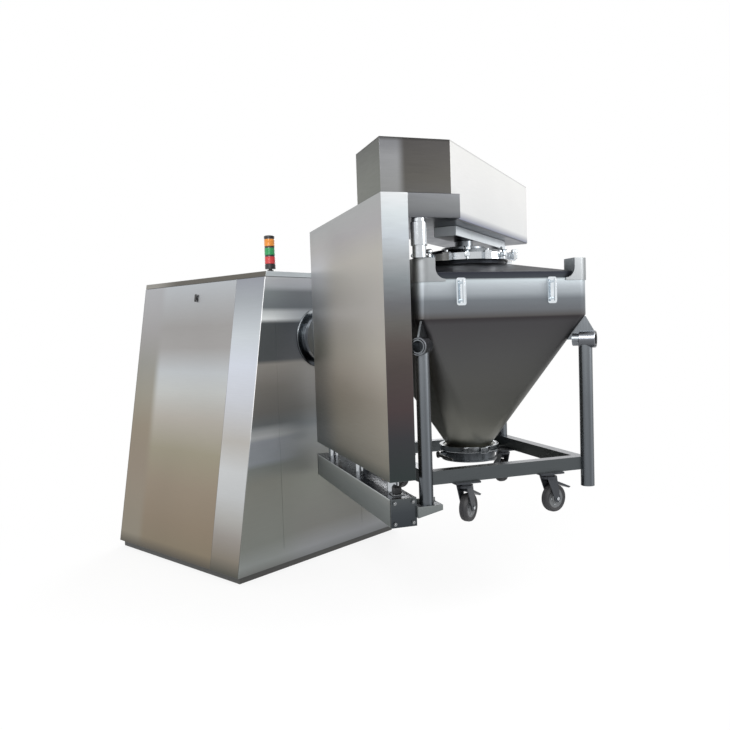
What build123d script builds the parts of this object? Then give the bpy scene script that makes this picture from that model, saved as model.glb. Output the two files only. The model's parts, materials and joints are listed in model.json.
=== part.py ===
from build123d import *
from math import atan, cos, radians, sin, sqrt
import os

os.makedirs("parts", exist_ok=True)

# Drive cabinet
cabinet_length = 1450
cabinet_height = 2000
base_width = 1580
top_width = 900
sheet = 3  # cover sheets
rib_inset = 26  # from a cover's edge to its stiffening rib
rib_depth = 17
roof_edge = 35
panel_bottom = 45  # the covers start above the dark plinth
panel_gap = 2
seam_from_face = 300  # door seam on the left side, behind the front face
front_seam = 390  # upright seam lines on the front face, from the middle
tube = 60
base_tube = 80
anchor_hole = 22
anchor_spacing_x = 1120
anchor_spacing_y = 1220
anchor_plate = 180
anchor_plate_thickness = 15
floor_sheet = 5

# Main shaft and its drive
shaft_height = 1550
shaft_radius = 80
drum_radius = 150
drum_reach = 50  # the drum ends this far outside the front face
shaft_flange_radius = 172
shaft_flange_thickness = 25
shaft_bore = 30
running_fit = 0.05
seat = 0.3  # gap between seated pieces
bearing_centre = 160  # shaft axis above the bearing's foot
bearing_foot_width = 340
bearing_foot_height = 35
bearing_width = 110
bearing_radius = 125
front_bearing_x = 560
rear_bearing_x = 60
gearbox_x = -300
gearbox_length = 400
gearbox_width = 380
gearbox_height = 420
motor_radius = 132
motor_length = 560
seal_radius = 205
seal_thickness = 12

# Rotor wall, which carries everything that turns
skew_angle = 30
wall_length = 1460
wall_thickness = 140
wall_half_height = 715
wall_front = 510  # near end of the wall, ahead of the bin's centre
wall_clearance = 77  # wall corner to the cabinet's front face
frame_thickness = 120
frame_member = 90
frame_wall = 10
hub_half_height = 170
hub_length = 360
hub_wall = 20

# Lifting carriage
lift_stroke = 560
rod_radius = 30
rod_top = 250
near_rod_x = 360
far_rod_x = -800
cylinder_x = -220
cylinder_radius = 55
cylinder_bore = 40
piston_rod_radius = 22.5
bush_radius = 40
beam_top = -800
beam_height = 145
beam_wall = 8
end_plate = 15
bracket_reach = 136

# Top arm
arm_bottom = 594
arm_top = 715
hood_height = 266
hood_leg = 375  # length of the hood along each side of its corner
hood_nose = 918  # nose of the hood past the bin's centre, along the diagonal
hood_skirt = 115  # how far the hood's free sides hang down over the arm
arm_corner = 283  # width of the arm's square end beside the wall
press_height = 54
press_width = 130
press_back = 304  # end of the press beam away from the free corner
press_pad_radius = 130
press_pad_height = 20
press_column_radius = 55
clamp_radius = 41.5
clamp_foot_radius = 35
clamp_foot_height = 62

# Bin
bin_width = 1000
bin_gap = 45
bin_corner = 60
bin_wall = 3
band_bottom = 90
band_top = 290
step_height = 36  # upright step between the band and the sloped top
step_inset = 25
outlet_bottom = -648
outlet_radius = 125
neck_bottom = 395
neck_top = 430
neck_radius = 235
neck_flange_radius = 262
ear_top = 396
ear_bottom = 277
ear_thickness = 5
ear_length = 100
ear_plate = 8
ear_fillet = 55
lid_thickness = 12
lid_crown = 480
gasket_thickness = 4
leg_radius = 36.5
leg_wall = 3.5
leg_place = 480
leg_bottom = -847
stub_height = -45
stub_radius = 35
stub_wall = 5
stub_end = 735  # open end of the corner pipes, from the bin's centre
bin_frame_top = -686
bin_frame_height = 70
bin_frame_width = 60
bin_frame_place = 450
valve_height = 70
valve_clearance = 1
disc_thickness = 12
stem_radius = 10

# Casters
caster_x = 450
caster_y = 250
side_caster_x = -320  # the rear right one sits under the side beam
side_caster_y = 400
caster_plate = 8
wheel_radius = 75
wheel_width = 48
wheel_trail = 38
wheel_bottom = -980
axle_radius = 8
kingpin_radius = 11

# Frames of reference
face_x = cabinet_length / 2
skew = radians(skew_angle)
wall_far = wall_front - wall_length
wall_inner = -(bin_width / 2 + bin_gap)
wall_outer = wall_inner - wall_thickness
bin_x = face_x + wall_clearance - wall_far * cos(skew) - wall_outer * sin(skew)
lean = atan((base_width - top_width) / 2 / cabinet_height)
slope_length = cabinet_height / cos(lean)
frame_inset = sheet + rib_depth + seat

rotor_frame = Plane(
    origin=(bin_x, 0, shaft_height), x_dir=(cos(skew), -sin(skew), 0), z_dir=(0, 0, 1)
)
rotor_x = rotor_frame.x_dir
rotor_y = rotor_frame.y_dir
diagonal_x = (rotor_y - rotor_x).normalized()
left_side = Plane(
    origin=(0, -base_width / 2, 0), x_dir=(1, 0, 0), z_dir=(0, -cos(lean), sin(lean))
)
right_side = Plane(
    origin=(0, base_width / 2, 0), x_dir=(-1, 0, 0), z_dir=(0, cos(lean), sin(lean))
)


def level(z):
    """A level plane of the rotor, at height z above the shaft axis."""
    return rotor_frame.offset(z)


def at(x, y, z):
    """A point given in the rotor's own frame."""
    return rotor_frame.from_local_coords((x, y, z))


def facing_out(x):
    """An upright plane of the rotor that looks along its x, drawn in y and z."""
    return Plane(origin=at(x, 0, 0), x_dir=rotor_y, z_dir=rotor_x)


def facing_wall(y):
    """An upright plane of the rotor that looks towards the wall, drawn in x and z."""
    return Plane(origin=at(0, y, 0), x_dir=rotor_x, z_dir=-rotor_y)


def half_width(z, inset=0):
    """Half the width of the cabinet at height z, less an inset."""
    return base_width / 2 - (base_width - top_width) / 2 * z / cabinet_height - inset


def trapezoid(low, high, inset=0):
    """The cabinet's cross-section between two heights."""
    return Polygon(
        (-half_width(low, inset), low),
        (half_width(low, inset), low),
        (half_width(high, inset), high),
        (-half_width(high, inset), high),
        align=None,
    )


def block(x0, x1, y0, y1, z0, z1, frame=Plane.XY, mode=Mode.ADD):
    """A box between two corners, in a plane's own directions."""
    with BuildSketch(frame.offset(z0)) as outline:
        with Locations(((x0 + x1) / 2, (y0 + y1) / 2)):
            Rectangle(x1 - x0, y1 - y0)
    extrude(outline.sketch, amount=z1 - z0, mode=mode)


def post(x, y, z0, z1, radius, frame=Plane.XY, mode=Mode.ADD):
    """A round bar between two heights of a frame."""
    with BuildSketch(frame.offset(z0)) as outline:
        with Locations((x, y)):
            Circle(radius)
    extrude(outline.sketch, amount=z1 - z0, mode=mode)


# Cabinet frame: base ring with foot plates, two portals, rails and bearing beams
base_half_x = face_x - frame_inset
base_half_y = half_width(base_tube, frame_inset)
portal_top = cabinet_height - roof_edge - seat
rail_height = shaft_height - bearing_centre
with BuildPart() as cabinet_frame:
    with BuildSketch():
        Rectangle(2 * base_half_x, 2 * base_half_y)
        Rectangle(2 * (base_half_x - base_tube), 2 * (base_half_y - base_tube), mode=Mode.SUBTRACT)
    extrude(amount=base_tube)
    with BuildSketch():
        with GridLocations(anchor_spacing_x, anchor_spacing_y, 2, 2):
            Rectangle(anchor_plate, anchor_plate)
    extrude(amount=anchor_plate_thickness)
    with BuildSketch(Plane.XY.offset(base_tube - floor_sheet)):
        Rectangle(2 * base_half_x - base_tube, 2 * base_half_y - 3 * base_tube)
    extrude(amount=floor_sheet)
    for portal_x in (face_x - frame_inset - tube, -face_x + frame_inset):
        with BuildSketch(Plane.YZ.offset(portal_x)):
            trapezoid(base_tube, portal_top, frame_inset / cos(lean))
            offset(amount=-tube, mode=Mode.SUBTRACT)
        extrude(amount=tube)
    for side in (-1, 1):
        for rail_top in (portal_top, rail_height):
            rail_y = side * (half_width(rail_top, frame_inset / cos(lean)) - tube / 2)
            block(-base_half_x, base_half_x, rail_y - tube / 2, rail_y + tube / 2,
                  rail_top - tube, rail_top)
    beam_half = half_width(rail_height, frame_inset / cos(lean)) - tube / 2
    beam_places = (
        front_bearing_x,
        rear_bearing_x,
        gearbox_x + gearbox_length / 2 - tube / 2,
        gearbox_x - gearbox_length / 2 + tube / 2,
    )
    for beam_x in beam_places:
        block(beam_x - tube / 2, beam_x + tube / 2, -beam_half, beam_half,
              rail_height - tube, rail_height)
    with Locations(Plane.XY.offset(anchor_plate_thickness)):
        with GridLocations(anchor_spacing_x, anchor_spacing_y, 2, 2):
            Hole(anchor_hole / 2, anchor_plate_thickness)
cabinet_frame.part.label = "cabinet_frame"
export_step(cabinet_frame.part, "parts/cabinet_frame.step")

# Covers of the cabinet: each a sheet with a stiffening rib that rests on the frame
cover_top = cabinet_height - roof_edge - panel_gap
groove = 3
with BuildPart() as front_panel:
    with BuildSketch(Plane.YZ.offset(face_x)):
        trapezoid(panel_bottom, cover_top)
    extrude(amount=-sheet)
    with BuildSketch(Plane.YZ.offset(face_x - sheet)):
        trapezoid(panel_bottom, cover_top)
        offset(amount=-rib_inset)
        offset(amount=-sheet, mode=Mode.SUBTRACT)
    extrude(amount=-rib_depth)
    with BuildSketch(Plane.YZ.offset(face_x)):
        with Locations((0, shaft_height)):
            Circle(drum_radius + seal_thickness)
        for side in (-1, 1):
            with Locations((side * front_seam, (cover_top + panel_bottom) / 2 - tube)):
                Rectangle(groove, cover_top - 6 * tube, mode=Mode.ADD)
    extrude(amount=-sheet / 2, mode=Mode.SUBTRACT)
    with BuildSketch(Plane.YZ.offset(face_x)):
        with Locations((0, shaft_height)):
            Circle(drum_radius + seal_thickness)
    extrude(amount=-sheet, mode=Mode.SUBTRACT)
front_panel.part.label = "front_panel"
export_step(front_panel.part, "parts/front_panel.step")

seam_x = face_x - seam_from_face
slope_bottom = panel_bottom / cos(lean)
slope_top = cover_top / cos(lean)
side_height = slope_top - slope_bottom
side_middle = (slope_top + slope_bottom) / 2


def side_cover(side, x0, x1):
    """A rectangular cover with its rib, on a leaning side of the cabinet."""
    with BuildSketch(side) as cover:
        with Locations(((x0 + x1) / 2, side_middle)):
            Rectangle(x1 - x0, side_height)
    extrude(cover.sketch, amount=-sheet)
    with BuildSketch(side.offset(-sheet)) as rib:
        with Locations(((x0 + x1) / 2, side_middle)):
            Rectangle(x1 - x0 - 2 * rib_inset, side_height - 2 * rib_inset)
            Rectangle(
                x1 - x0 - 2 * rib_inset - 2 * sheet,
                side_height - 2 * rib_inset - 2 * sheet,
                mode=Mode.SUBTRACT,
            )
    extrude(rib.sketch, amount=-rib_depth)


lock_x = -25
lock_from_top = 140
lock_slope = (cabinet_height - lock_from_top) / cos(lean)
lock_radius = 14
door_left = -face_x + sheet + panel_gap
door_right = seam_x - panel_gap
with BuildPart() as access_panel:
    side_cover(left_side, door_left, door_right)
    post(lock_x, lock_slope, -sheet, 0, lock_radius - 4 + seat, left_side, Mode.SUBTRACT)
access_panel.part.label = "access_panel"
export_step(access_panel.part, "parts/access_panel.step")

with BuildPart() as panel_lock:
    post(lock_x, lock_slope, seat, 6, lock_radius, left_side)
    post(lock_x, lock_slope, -10, seat, lock_radius - 4, left_side)
    with BuildSketch(left_side.offset(6)):
        with Locations((lock_x, lock_slope)):
            SlotOverall(56, 16, rotation=90)
    extrude(amount=10)
    fillet(panel_lock.faces().sort_by(Axis(left_side.origin, left_side.z_dir))[-1].edges(), 3)
panel_lock.part.label = "panel_lock"
export_step(panel_lock.part, "parts/panel_lock.step")

with BuildPart() as corner_cover:
    side_cover(left_side, seam_x, face_x - sheet - seat)
corner_cover.part.label = "corner_cover"
export_step(corner_cover.part, "parts/corner_cover.step")

louvre_length = 160
louvre_width = 8
louvre_pitch = 24
with BuildPart() as far_side_panel:
    side_cover(right_side, -face_x + sheet + seat, face_x - sheet - seat)
    with BuildSketch(right_side):
        for louvre_row in (0.2, 0.78):
            with Locations((0, slope_bottom + louvre_row * side_height)):
                with GridLocations(1.5 * louvre_length, louvre_pitch, 3, 6):
                    SlotOverall(louvre_length, louvre_width)
    extrude(amount=-sheet, mode=Mode.SUBTRACT)
far_side_panel.part.label = "far_side_panel"
export_step(far_side_panel.part, "parts/far_side_panel.step")

with BuildPart() as rear_panel:
    with BuildSketch(Plane.YZ.offset(-face_x)):
        trapezoid(panel_bottom, cover_top)
    extrude(amount=sheet)
    with BuildSketch(Plane.YZ.offset(-face_x + sheet)):
        trapezoid(panel_bottom, cover_top)
        offset(amount=-rib_inset)
        offset(amount=-sheet, mode=Mode.SUBTRACT)
    extrude(amount=rib_depth)
    with BuildSketch(Plane.YZ.offset(-face_x)):
        with Locations((0, 0.2 * cabinet_height)):
            with GridLocations(1.5 * louvre_length, louvre_pitch, 4, 6):
                SlotOverall(louvre_length, louvre_width)
    extrude(amount=sheet, mode=Mode.SUBTRACT)
rear_panel.part.label = "rear_panel"
export_step(rear_panel.part, "parts/rear_panel.step")

with BuildPart() as roof_panel:
    with BuildSketch(Plane.YZ.offset(-face_x)):
        trapezoid(cabinet_height - roof_edge, cabinet_height)
    extrude(amount=cabinet_length)
    with BuildSketch(Plane.YZ.offset(-face_x + sheet)):
        trapezoid(cabinet_height - roof_edge, cabinet_height - sheet, sheet)
    extrude(amount=cabinet_length - 2 * sheet, mode=Mode.SUBTRACT)
    for side in (-1, 1):
        rest_y = side * (half_width(portal_top, frame_inset / cos(lean)) - tube / 2)
        block(-face_x + tube, face_x - tube, rest_y - tube / 4, rest_y + tube / 4,
              portal_top + seat, cabinet_height - sheet)
roof_panel.part.label = "roof_panel"
export_step(roof_panel.part, "parts/roof_panel.step")

# Operator panel with its stop button, on the rear
operator_y = 180
operator_z = 1300
operator_width = 260
operator_height = 340
operator_depth = 45
button_radius = 20
button_travel = 6
operator_back = -face_x - operator_depth
with BuildPart() as operator_panel:
    with BuildSketch(Plane.YZ.offset(-face_x)):
        with Locations((operator_y, operator_z)):
            RectangleRounded(operator_width, operator_height, 10)
    extrude(amount=-operator_depth)
    with BuildSketch(Plane.YZ.offset(operator_back)):
        with Locations((operator_y, operator_z + 50)):
            Rectangle(operator_width - 70, operator_height - 190)
    extrude(amount=3, mode=Mode.SUBTRACT)
    with BuildSketch(Plane.YZ.offset(operator_back)):
        with Locations((operator_y, operator_z - 100)):
            Circle(button_radius - 8 + seat)
    extrude(amount=30, mode=Mode.SUBTRACT)
    with BuildSketch(Plane.YZ.offset(operator_back)):
        with Locations((operator_y - 75, operator_z - 100), (operator_y + 75, operator_z - 100)):
            Circle(12)
    extrude(amount=-8)
operator_panel.part.label = "operator_panel"
export_step(operator_panel.part, "parts/operator_panel.step")

with BuildPart() as emergency_stop:
    with BuildSketch(Plane.YZ.offset(operator_back - button_travel - 1)):
        with Locations((operator_y, operator_z - 100)):
            Circle(button_radius)
    extrude(amount=-14)
    with BuildSketch(Plane.YZ.offset(operator_back - button_travel - 1)):
        with Locations((operator_y, operator_z - 100)):
            Circle(button_radius - 8)
    extrude(amount=button_travel + 15)
    fillet(emergency_stop.edges().filter_by(GeomType.CIRCLE).sort_by(Axis.X)[0], 5)
emergency_stop.part.label = "emergency_stop"
export_step(emergency_stop.part, "parts/emergency_stop.step")

# Signal tower
tower_x = face_x - 50
tower_y = -(top_width / 2 - 80)
tower_radius = 35
tower_base = 46
lens_height = 58
with BuildPart() as signal_housing:
    post(tower_x, tower_y, cabinet_height, cabinet_height + 10, tower_radius * 0.6)
    with BuildSketch(Plane.XY.offset(cabinet_height + 10)):
        with Locations((tower_x, tower_y)):
            Circle(tower_radius * 0.35)
    extrude(amount=12)
    with BuildSketch(Plane.XY.offset(cabinet_height + 18)):
        with Locations((tower_x, tower_y)):
            Circle(tower_radius)
    extrude(amount=tower_base - 18)
    cap_bottom = cabinet_height + tower_base + 3 * lens_height
    post(tower_x, tower_y, cap_bottom, cap_bottom + 18, tower_radius)
    fillet(signal_housing.edges().filter_by(GeomType.CIRCLE).sort_by(Axis.Z)[-1], 7)
signal_housing.part.label = "signal_housing"
export_step(signal_housing.part, "parts/signal_housing.step")


def lens(number):
    """One light module: a ribbed drum with a shallow groove at each end."""
    bottom = cabinet_height + tower_base + number * lens_height
    post(tower_x, tower_y, bottom, bottom + lens_height, tower_radius - 1)
    post(tower_x, tower_y, bottom + 4, bottom + lens_height - 4, tower_radius)


with BuildPart() as red_lens:
    lens(0)
red_lens.part.label = "red_lens"
export_step(red_lens.part, "parts/red_lens.step")
with BuildPart() as green_lens:
    lens(1)
green_lens.part.label = "green_lens"
export_step(green_lens.part, "parts/green_lens.step")
with BuildPart() as amber_lens:
    lens(2)
amber_lens.part.label = "amber_lens"
export_step(amber_lens.part, "parts/amber_lens.step")

# Shaft, bearings, gearbox and motor
shaft_axis = Axis((0, 0, shaft_height), (1, 0, 0))
drum_end = face_x + drum_reach
flange_end = drum_end + shaft_flange_thickness
drum_start = front_bearing_x + bearing_width / 2 + 20
shaft_start = gearbox_x - gearbox_length / 2 - 40
with BuildPart() as main_shaft:
    with BuildSketch(Plane.XZ):
        with BuildLine():
            Polyline(
                (shaft_start, shaft_height + shaft_bore),
                (shaft_start, shaft_height + shaft_radius),
                (drum_start, shaft_height + shaft_radius),
                (drum_start, shaft_height + drum_radius),
                (drum_end, shaft_height + drum_radius),
                (drum_end, shaft_height + shaft_flange_radius),
                (flange_end, shaft_height + shaft_flange_radius),
                (flange_end, shaft_height + shaft_bore),
                close=True,
            )
        make_face()
    revolve(axis=shaft_axis)
    with BuildSketch(Plane.YZ.offset(drum_end)):
        with Locations((0, shaft_height)):
            with PolarLocations((drum_radius + shaft_flange_radius) / 2, 12):
                Circle(8)
    extrude(amount=-5)
main_shaft.part.label = "main_shaft"
export_step(main_shaft.part, "parts/main_shaft.step")

with BuildPart() as shaft_bearings:
    for bearing_x in (front_bearing_x, rear_bearing_x):
        with BuildSketch(Plane.YZ.offset(bearing_x - bearing_width / 2)):
            with Locations((0, rail_height + bearing_foot_height / 2)):
                Rectangle(bearing_foot_width, bearing_foot_height)
            with Locations((0, shaft_height)):
                Circle(bearing_radius)
            with Locations((0, shaft_height - bearing_centre / 2)):
                Rectangle(1.5 * bearing_radius, bearing_centre)
            with Locations((0, shaft_height)):
                Circle(shaft_radius + running_fit, mode=Mode.SUBTRACT)
        extrude(amount=bearing_width)
shaft_bearings.part.label = "shaft_bearings"
export_step(shaft_bearings.part, "parts/shaft_bearings.step")

with BuildPart() as seal_ring:
    with BuildSketch(Plane.YZ.offset(face_x)):
        with Locations((0, shaft_height)):
            Circle(seal_radius)
            Circle(drum_radius + 1, mode=Mode.SUBTRACT)
    extrude(amount=seal_thickness)
    chamfer(seal_ring.edges().filter_by(GeomType.CIRCLE).group_by(Axis.X)[-1].sort_by(SortBy.RADIUS)[-1], 4)
seal_ring.part.label = "seal_ring"
export_step(seal_ring.part, "parts/seal_ring.step")

gearbox_bottom = rail_height
motor_flange = 25
with BuildPart() as gearbox:
    with BuildSketch(Plane.YZ.offset(gearbox_x - gearbox_length / 2)):
        with Locations((0, gearbox_bottom + gearbox_height / 2)):
            Rectangle(gearbox_width, gearbox_height)
    extrude(amount=gearbox_length)
    fillet(gearbox.edges().filter_by(Axis.X).group_by(Axis.Z)[-1], 60)
    with BuildSketch(Plane.YZ.offset(gearbox_x - gearbox_length / 2)):
        with Locations((0, shaft_height)):
            Circle(shaft_radius + seat)
    extrude(amount=gearbox_length, mode=Mode.SUBTRACT)
    for rib_y in (-1, 1):
        with BuildSketch(Plane.XZ.offset(-rib_y * gearbox_width / 2)):
            with Locations((gearbox_x, gearbox_bottom + gearbox_height / 2)):
                with GridLocations(60, 1, 5, 1):
                    Rectangle(12, gearbox_height - 150)
        extrude(amount=-rib_y * 14)
gearbox.part.label = "gearbox"
export_step(gearbox.part, "parts/gearbox.step")

motor_top = gearbox_bottom
with BuildPart() as drive_motor:
    post(gearbox_x, 0, motor_top - motor_flange, motor_top, motor_radius + 5)
    post(gearbox_x, 0, motor_top - motor_length, motor_top - motor_flange, motor_radius - 14)
    with BuildSketch(Plane.XY.offset(motor_top - motor_length + 110)):
        with Locations((gearbox_x, 0)):
            with PolarLocations(motor_radius - 10, 28):
                Rectangle(20, 5)
    extrude(amount=motor_length - motor_flange - 150)
    post(gearbox_x, 0, motor_top - motor_length, motor_top - motor_length + 105, motor_radius)
    block(gearbox_x - 70, gearbox_x + 70, -motor_radius - 50, -motor_radius + 20,
          motor_top - 330, motor_top - 180)
    fillet(drive_motor.edges().filter_by(GeomType.CIRCLE).sort_by(Axis.Z)[0], 20)
drive_motor.part.label = "drive_motor"
export_step(drive_motor.part, "parts/drive_motor.step")

# Hydraulic unit that feeds the lift through the hollow shaft, and the control box
tank_x = -410
tank_length = 460
tank_width = 420
tank_height = 300
union_length = 90
riser_x = shaft_start - union_length / 2
with BuildPart() as hydraulic_unit:
    block(tank_x - tank_length / 2, tank_x + tank_length / 2, -tank_width / 2, tank_width / 2,
          base_tube, base_tube + tank_height)
    fillet(hydraulic_unit.edges().filter_by(Axis.Z), 25)
    pump_top = base_tube + tank_height
    post(tank_x + 60, -110, pump_top, pump_top + 260, 80)
    block(tank_x + 20, tank_x + 180, 40, 160, pump_top, pump_top + 120)
    post(riser_x, 0, pump_top - 1, shaft_height, 14)
    with BuildSketch(Plane.YZ.offset(shaft_start - seat)):
        with Locations((0, shaft_height)):
            Circle(shaft_radius * 0.7)
    extrude(amount=-union_length)
hydraulic_unit.part.label = "hydraulic_unit"
export_step(hydraulic_unit.part, "parts/hydraulic_unit.step")

control_x = 330
control_depth = 260
with BuildPart() as control_box:
    block(control_x - control_depth / 2, control_x + control_depth / 2, -300, 300,
          base_tube, base_tube + 620)
    fillet(control_box.edges().filter_by(Axis.Z), 8)
    with BuildSketch(Plane.YZ.offset(control_x + control_depth / 2)):
        with Locations((0, base_tube + 310)):
            Rectangle(560, 580)
    extrude(amount=15)
control_box.part.label = "control_box"
export_step(control_box.part, "parts/control_box.step")

# Hub: skewed wedge between the shaft's flange and the far end of the wall
wall_far_corner = at(wall_far, wall_outer, 0)
wall_far_inner = at(wall_far, wall_inner, 0)
hub_end = at(wall_far + hub_length, wall_inner, 0)
hub_start = flange_end + seat
with BuildPart() as hub:
    with BuildSketch(Plane.XY.offset(shaft_height - hub_half_height)) as hub_plan:
        Polygon(
            (hub_start, wall_far_corner.Y - seat),
            (wall_far_corner.X - seat, wall_far_corner.Y - seat),
            (wall_far_inner.X - seat, wall_far_inner.Y + seat),
            (hub_end.X, hub_end.Y + seat),
            (hub_start + 60, hub_half_height),
            (hub_start, hub_half_height),
            align=None,
        )
    extrude(amount=2 * hub_half_height)
    with BuildSketch(Plane.XY.offset(shaft_height - hub_half_height + hub_wall)):
        add(hub_plan.sketch_local)
        offset(amount=-hub_wall)
    extrude(amount=2 * (hub_half_height - hub_wall), mode=Mode.SUBTRACT)
hub.part.label = "hub"
export_step(hub.part, "parts/hub.step")

# Rotor wall: casing, end cover and the frame inside it
wall_middle = (wall_inner + wall_outer) / 2
casing_near = wall_front - sheet
rod_places = (near_rod_x, far_rod_x)
with BuildPart() as wall_casing:
    block(wall_far, casing_near, wall_outer, wall_inner, -wall_half_height, wall_half_height,
          rotor_frame)
    block(wall_far + sheet, casing_near, wall_outer + sheet, wall_inner - sheet,
          sheet - wall_half_height, wall_half_height - sheet, rotor_frame, Mode.SUBTRACT)
    for rod_x in rod_places:
        post(rod_x, wall_middle, -wall_half_height, sheet - wall_half_height,
             bush_radius + seat, rotor_frame, Mode.SUBTRACT)
    post(cylinder_x, wall_middle, -wall_half_height, sheet - wall_half_height,
         piston_rod_radius + 5, rotor_frame, Mode.SUBTRACT)
wall_casing.part.label = "wall_casing"
export_step(wall_casing.part, "parts/wall_casing.step")

with BuildPart() as wall_end_cover:
    block(casing_near, wall_front, wall_outer, wall_inner, -wall_half_height, wall_half_height,
          rotor_frame)
    lip = sheet + seat
    block(casing_near - rib_depth, casing_near, wall_outer + lip, wall_inner - lip,
          lip - wall_half_height, wall_half_height - lip, rotor_frame)
    lip = 2 * sheet + seat
    block(casing_near - rib_depth, casing_near, wall_outer + lip, wall_inner - lip,
          lip - wall_half_height, wall_half_height - lip, rotor_frame, Mode.SUBTRACT)
wall_end_cover.part.label = "wall_end_cover"
export_step(wall_end_cover.part, "parts/wall_end_cover.step")

frame_far = wall_far + sheet + seat
frame_near = casing_near - rib_depth - seat
frame_half = wall_half_height - sheet - seat
frame_mid_x = (frame_far + frame_near) / 2
shelf_bottom = -450
shelf_top = -390
window_width = frame_near - frame_far - 2 * frame_member
with BuildPart() as wall_frame:
    low = frame_member - frame_half
    with BuildSketch(facing_wall(wall_middle + frame_thickness / 2)) as frame_outline:
        with Locations((frame_mid_x, 0)):
            Rectangle(frame_near - frame_far, 2 * frame_half)
        with Locations((frame_mid_x, (low + shelf_bottom) / 2)):
            Rectangle(window_width, shelf_bottom - low, mode=Mode.SUBTRACT)
        with Locations((frame_mid_x, (shelf_top - low) / 2)):
            Rectangle(window_width, -low - shelf_top, mode=Mode.SUBTRACT)
        with Locations((cylinder_x - 260, 0), (cylinder_x + 220, 0)):
            Rectangle(tube, 2 * frame_half)
        with Locations((frame_mid_x, 0)):
            Rectangle(frame_near - frame_far, 2 * tube)
        with Locations((near_rod_x, 0), (far_rod_x, 0), (cylinder_x, 0)):
            Rectangle(2 * cylinder_radius + 2, 2.1 * tube, mode=Mode.SUBTRACT)
    extrude(amount=frame_thickness)
    with BuildSketch(facing_wall(wall_middle + frame_thickness / 2 - frame_wall)):
        add(frame_outline.sketch_local)
        offset(amount=-frame_wall)
    extrude(amount=frame_thickness - 2 * frame_wall, mode=Mode.SUBTRACT)
    for rod_x in rod_places:
        post(rod_x, wall_middle, -frame_half, shelf_top, bush_radius, rotor_frame, Mode.SUBTRACT)
    post(cylinder_x, wall_middle, -frame_half, low, piston_rod_radius + 2, rotor_frame,
         Mode.SUBTRACT)
    post(cylinder_x, wall_middle, low, shelf_top, cylinder_radius + seat, rotor_frame,
         Mode.SUBTRACT)
wall_frame.part.label = "wall_frame"
export_step(wall_frame.part, "parts/wall_frame.step")

bush_flange = 12
with BuildPart() as guide_bushes:
    for rod_x in rod_places:
        post(rod_x, wall_middle, -wall_half_height - bush_flange, -wall_half_height,
             bush_radius + 16, rotor_frame)
        post(rod_x, wall_middle, -wall_half_height, low, bush_radius, rotor_frame)
        post(rod_x, wall_middle, shelf_bottom, shelf_top, bush_radius, rotor_frame)
        post(rod_x, wall_middle, -wall_half_height - bush_flange, shelf_top,
             rod_radius + running_fit, rotor_frame, Mode.SUBTRACT)
guide_bushes.part.label = "guide_bushes"
export_step(guide_bushes.part, "parts/guide_bushes.step")

piston_height = 60
cylinder_top = rod_top + 90
with BuildPart() as lift_cylinder:
    post(cylinder_x, wall_middle, low, cylinder_top, cylinder_radius, rotor_frame)
    post(cylinder_x, wall_middle, low + 40, cylinder_top - 20, cylinder_bore, rotor_frame,
         Mode.SUBTRACT)
    post(cylinder_x, wall_middle, low, low + 40, piston_rod_radius + running_fit, rotor_frame,
         Mode.SUBTRACT)
lift_cylinder.part.label = "lift_cylinder"
export_step(lift_cylinder.part, "parts/lift_cylinder.step")

# Lifting carriage
with BuildPart() as lift_rods:
    for rod_x in rod_places:
        post(rod_x, wall_middle, beam_top, rod_top, rod_radius, rotor_frame)
    post(cylinder_x, wall_middle, beam_top, rod_top, piston_rod_radius, rotor_frame)
    post(cylinder_x, wall_middle, rod_top - piston_height, rod_top,
         cylinder_bore - running_fit, rotor_frame)
lift_rods.part.label = "lift_rods"
export_step(lift_rods.part, "parts/lift_rods.step")

beam_outer = wall_outer + 1
beam_inner = wall_inner - 1
beam_bottom = beam_top - beam_height
beam_near = wall_front - end_plate
with BuildPart() as carriage_beam:
    block(wall_far, beam_near, beam_outer, beam_inner, beam_bottom, beam_top, rotor_frame)
    block(wall_far, beam_near, beam_outer + beam_wall, beam_inner - beam_wall,
          beam_bottom + beam_wall, beam_top - beam_wall, rotor_frame, Mode.SUBTRACT)
carriage_beam.part.label = "carriage_beam"
export_step(carriage_beam.part, "parts/carriage_beam.step")

screw_inset = 20
with BuildPart() as beam_end_plates:
    far_plate = wall_far - end_plate
    for plate_x, screw_face, head in ((beam_near, wall_front, 7), (far_plate, far_plate, -7)):
        with BuildSketch(facing_out(plate_x)):
            with Locations((wall_middle, (beam_top + beam_bottom) / 2)):
                Rectangle(beam_inner - beam_outer, beam_height)
        extrude(amount=end_plate)
        with BuildSketch(facing_out(screw_face)):
            with Locations((wall_middle, (beam_top + beam_bottom) / 2)):
                with GridLocations(beam_inner - beam_outer - 2 * screw_inset,
                                   beam_height - 2 * screw_inset, 2, 2):
                    Circle(9)
        extrude(amount=head)
beam_end_plates.part.label = "beam_end_plates"
export_step(beam_end_plates.part, "parts/beam_end_plates.step")

pad_top = leg_bottom - seat
pad_width = 100
with BuildPart() as foot_brackets:
    near_cheek = leg_place - pad_width / 2 - 8
    for foot_x, cheek_x in ((leg_place, near_cheek), (-leg_place, -near_cheek - 8)):
        with BuildSketch(facing_out(foot_x - pad_width / 2)):
            Polygon(
                (beam_inner, beam_bottom + 40),
                (beam_inner + bracket_reach, pad_top - 28),
                (beam_inner + bracket_reach, pad_top),
                (beam_inner, pad_top),
                align=None,
            )
        extrude(amount=pad_width)
        with BuildSketch(facing_out(cheek_x)):
            Polygon(
                (beam_inner, beam_bottom + 40),
                (beam_inner + bracket_reach, pad_top - 28),
                (beam_inner + bracket_reach, pad_top + 17),
                (beam_inner, pad_top + 17),
                align=None,
            )
        extrude(amount=8)
foot_brackets.part.label = "foot_brackets"
export_step(foot_brackets.part, "parts/foot_brackets.step")

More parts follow.
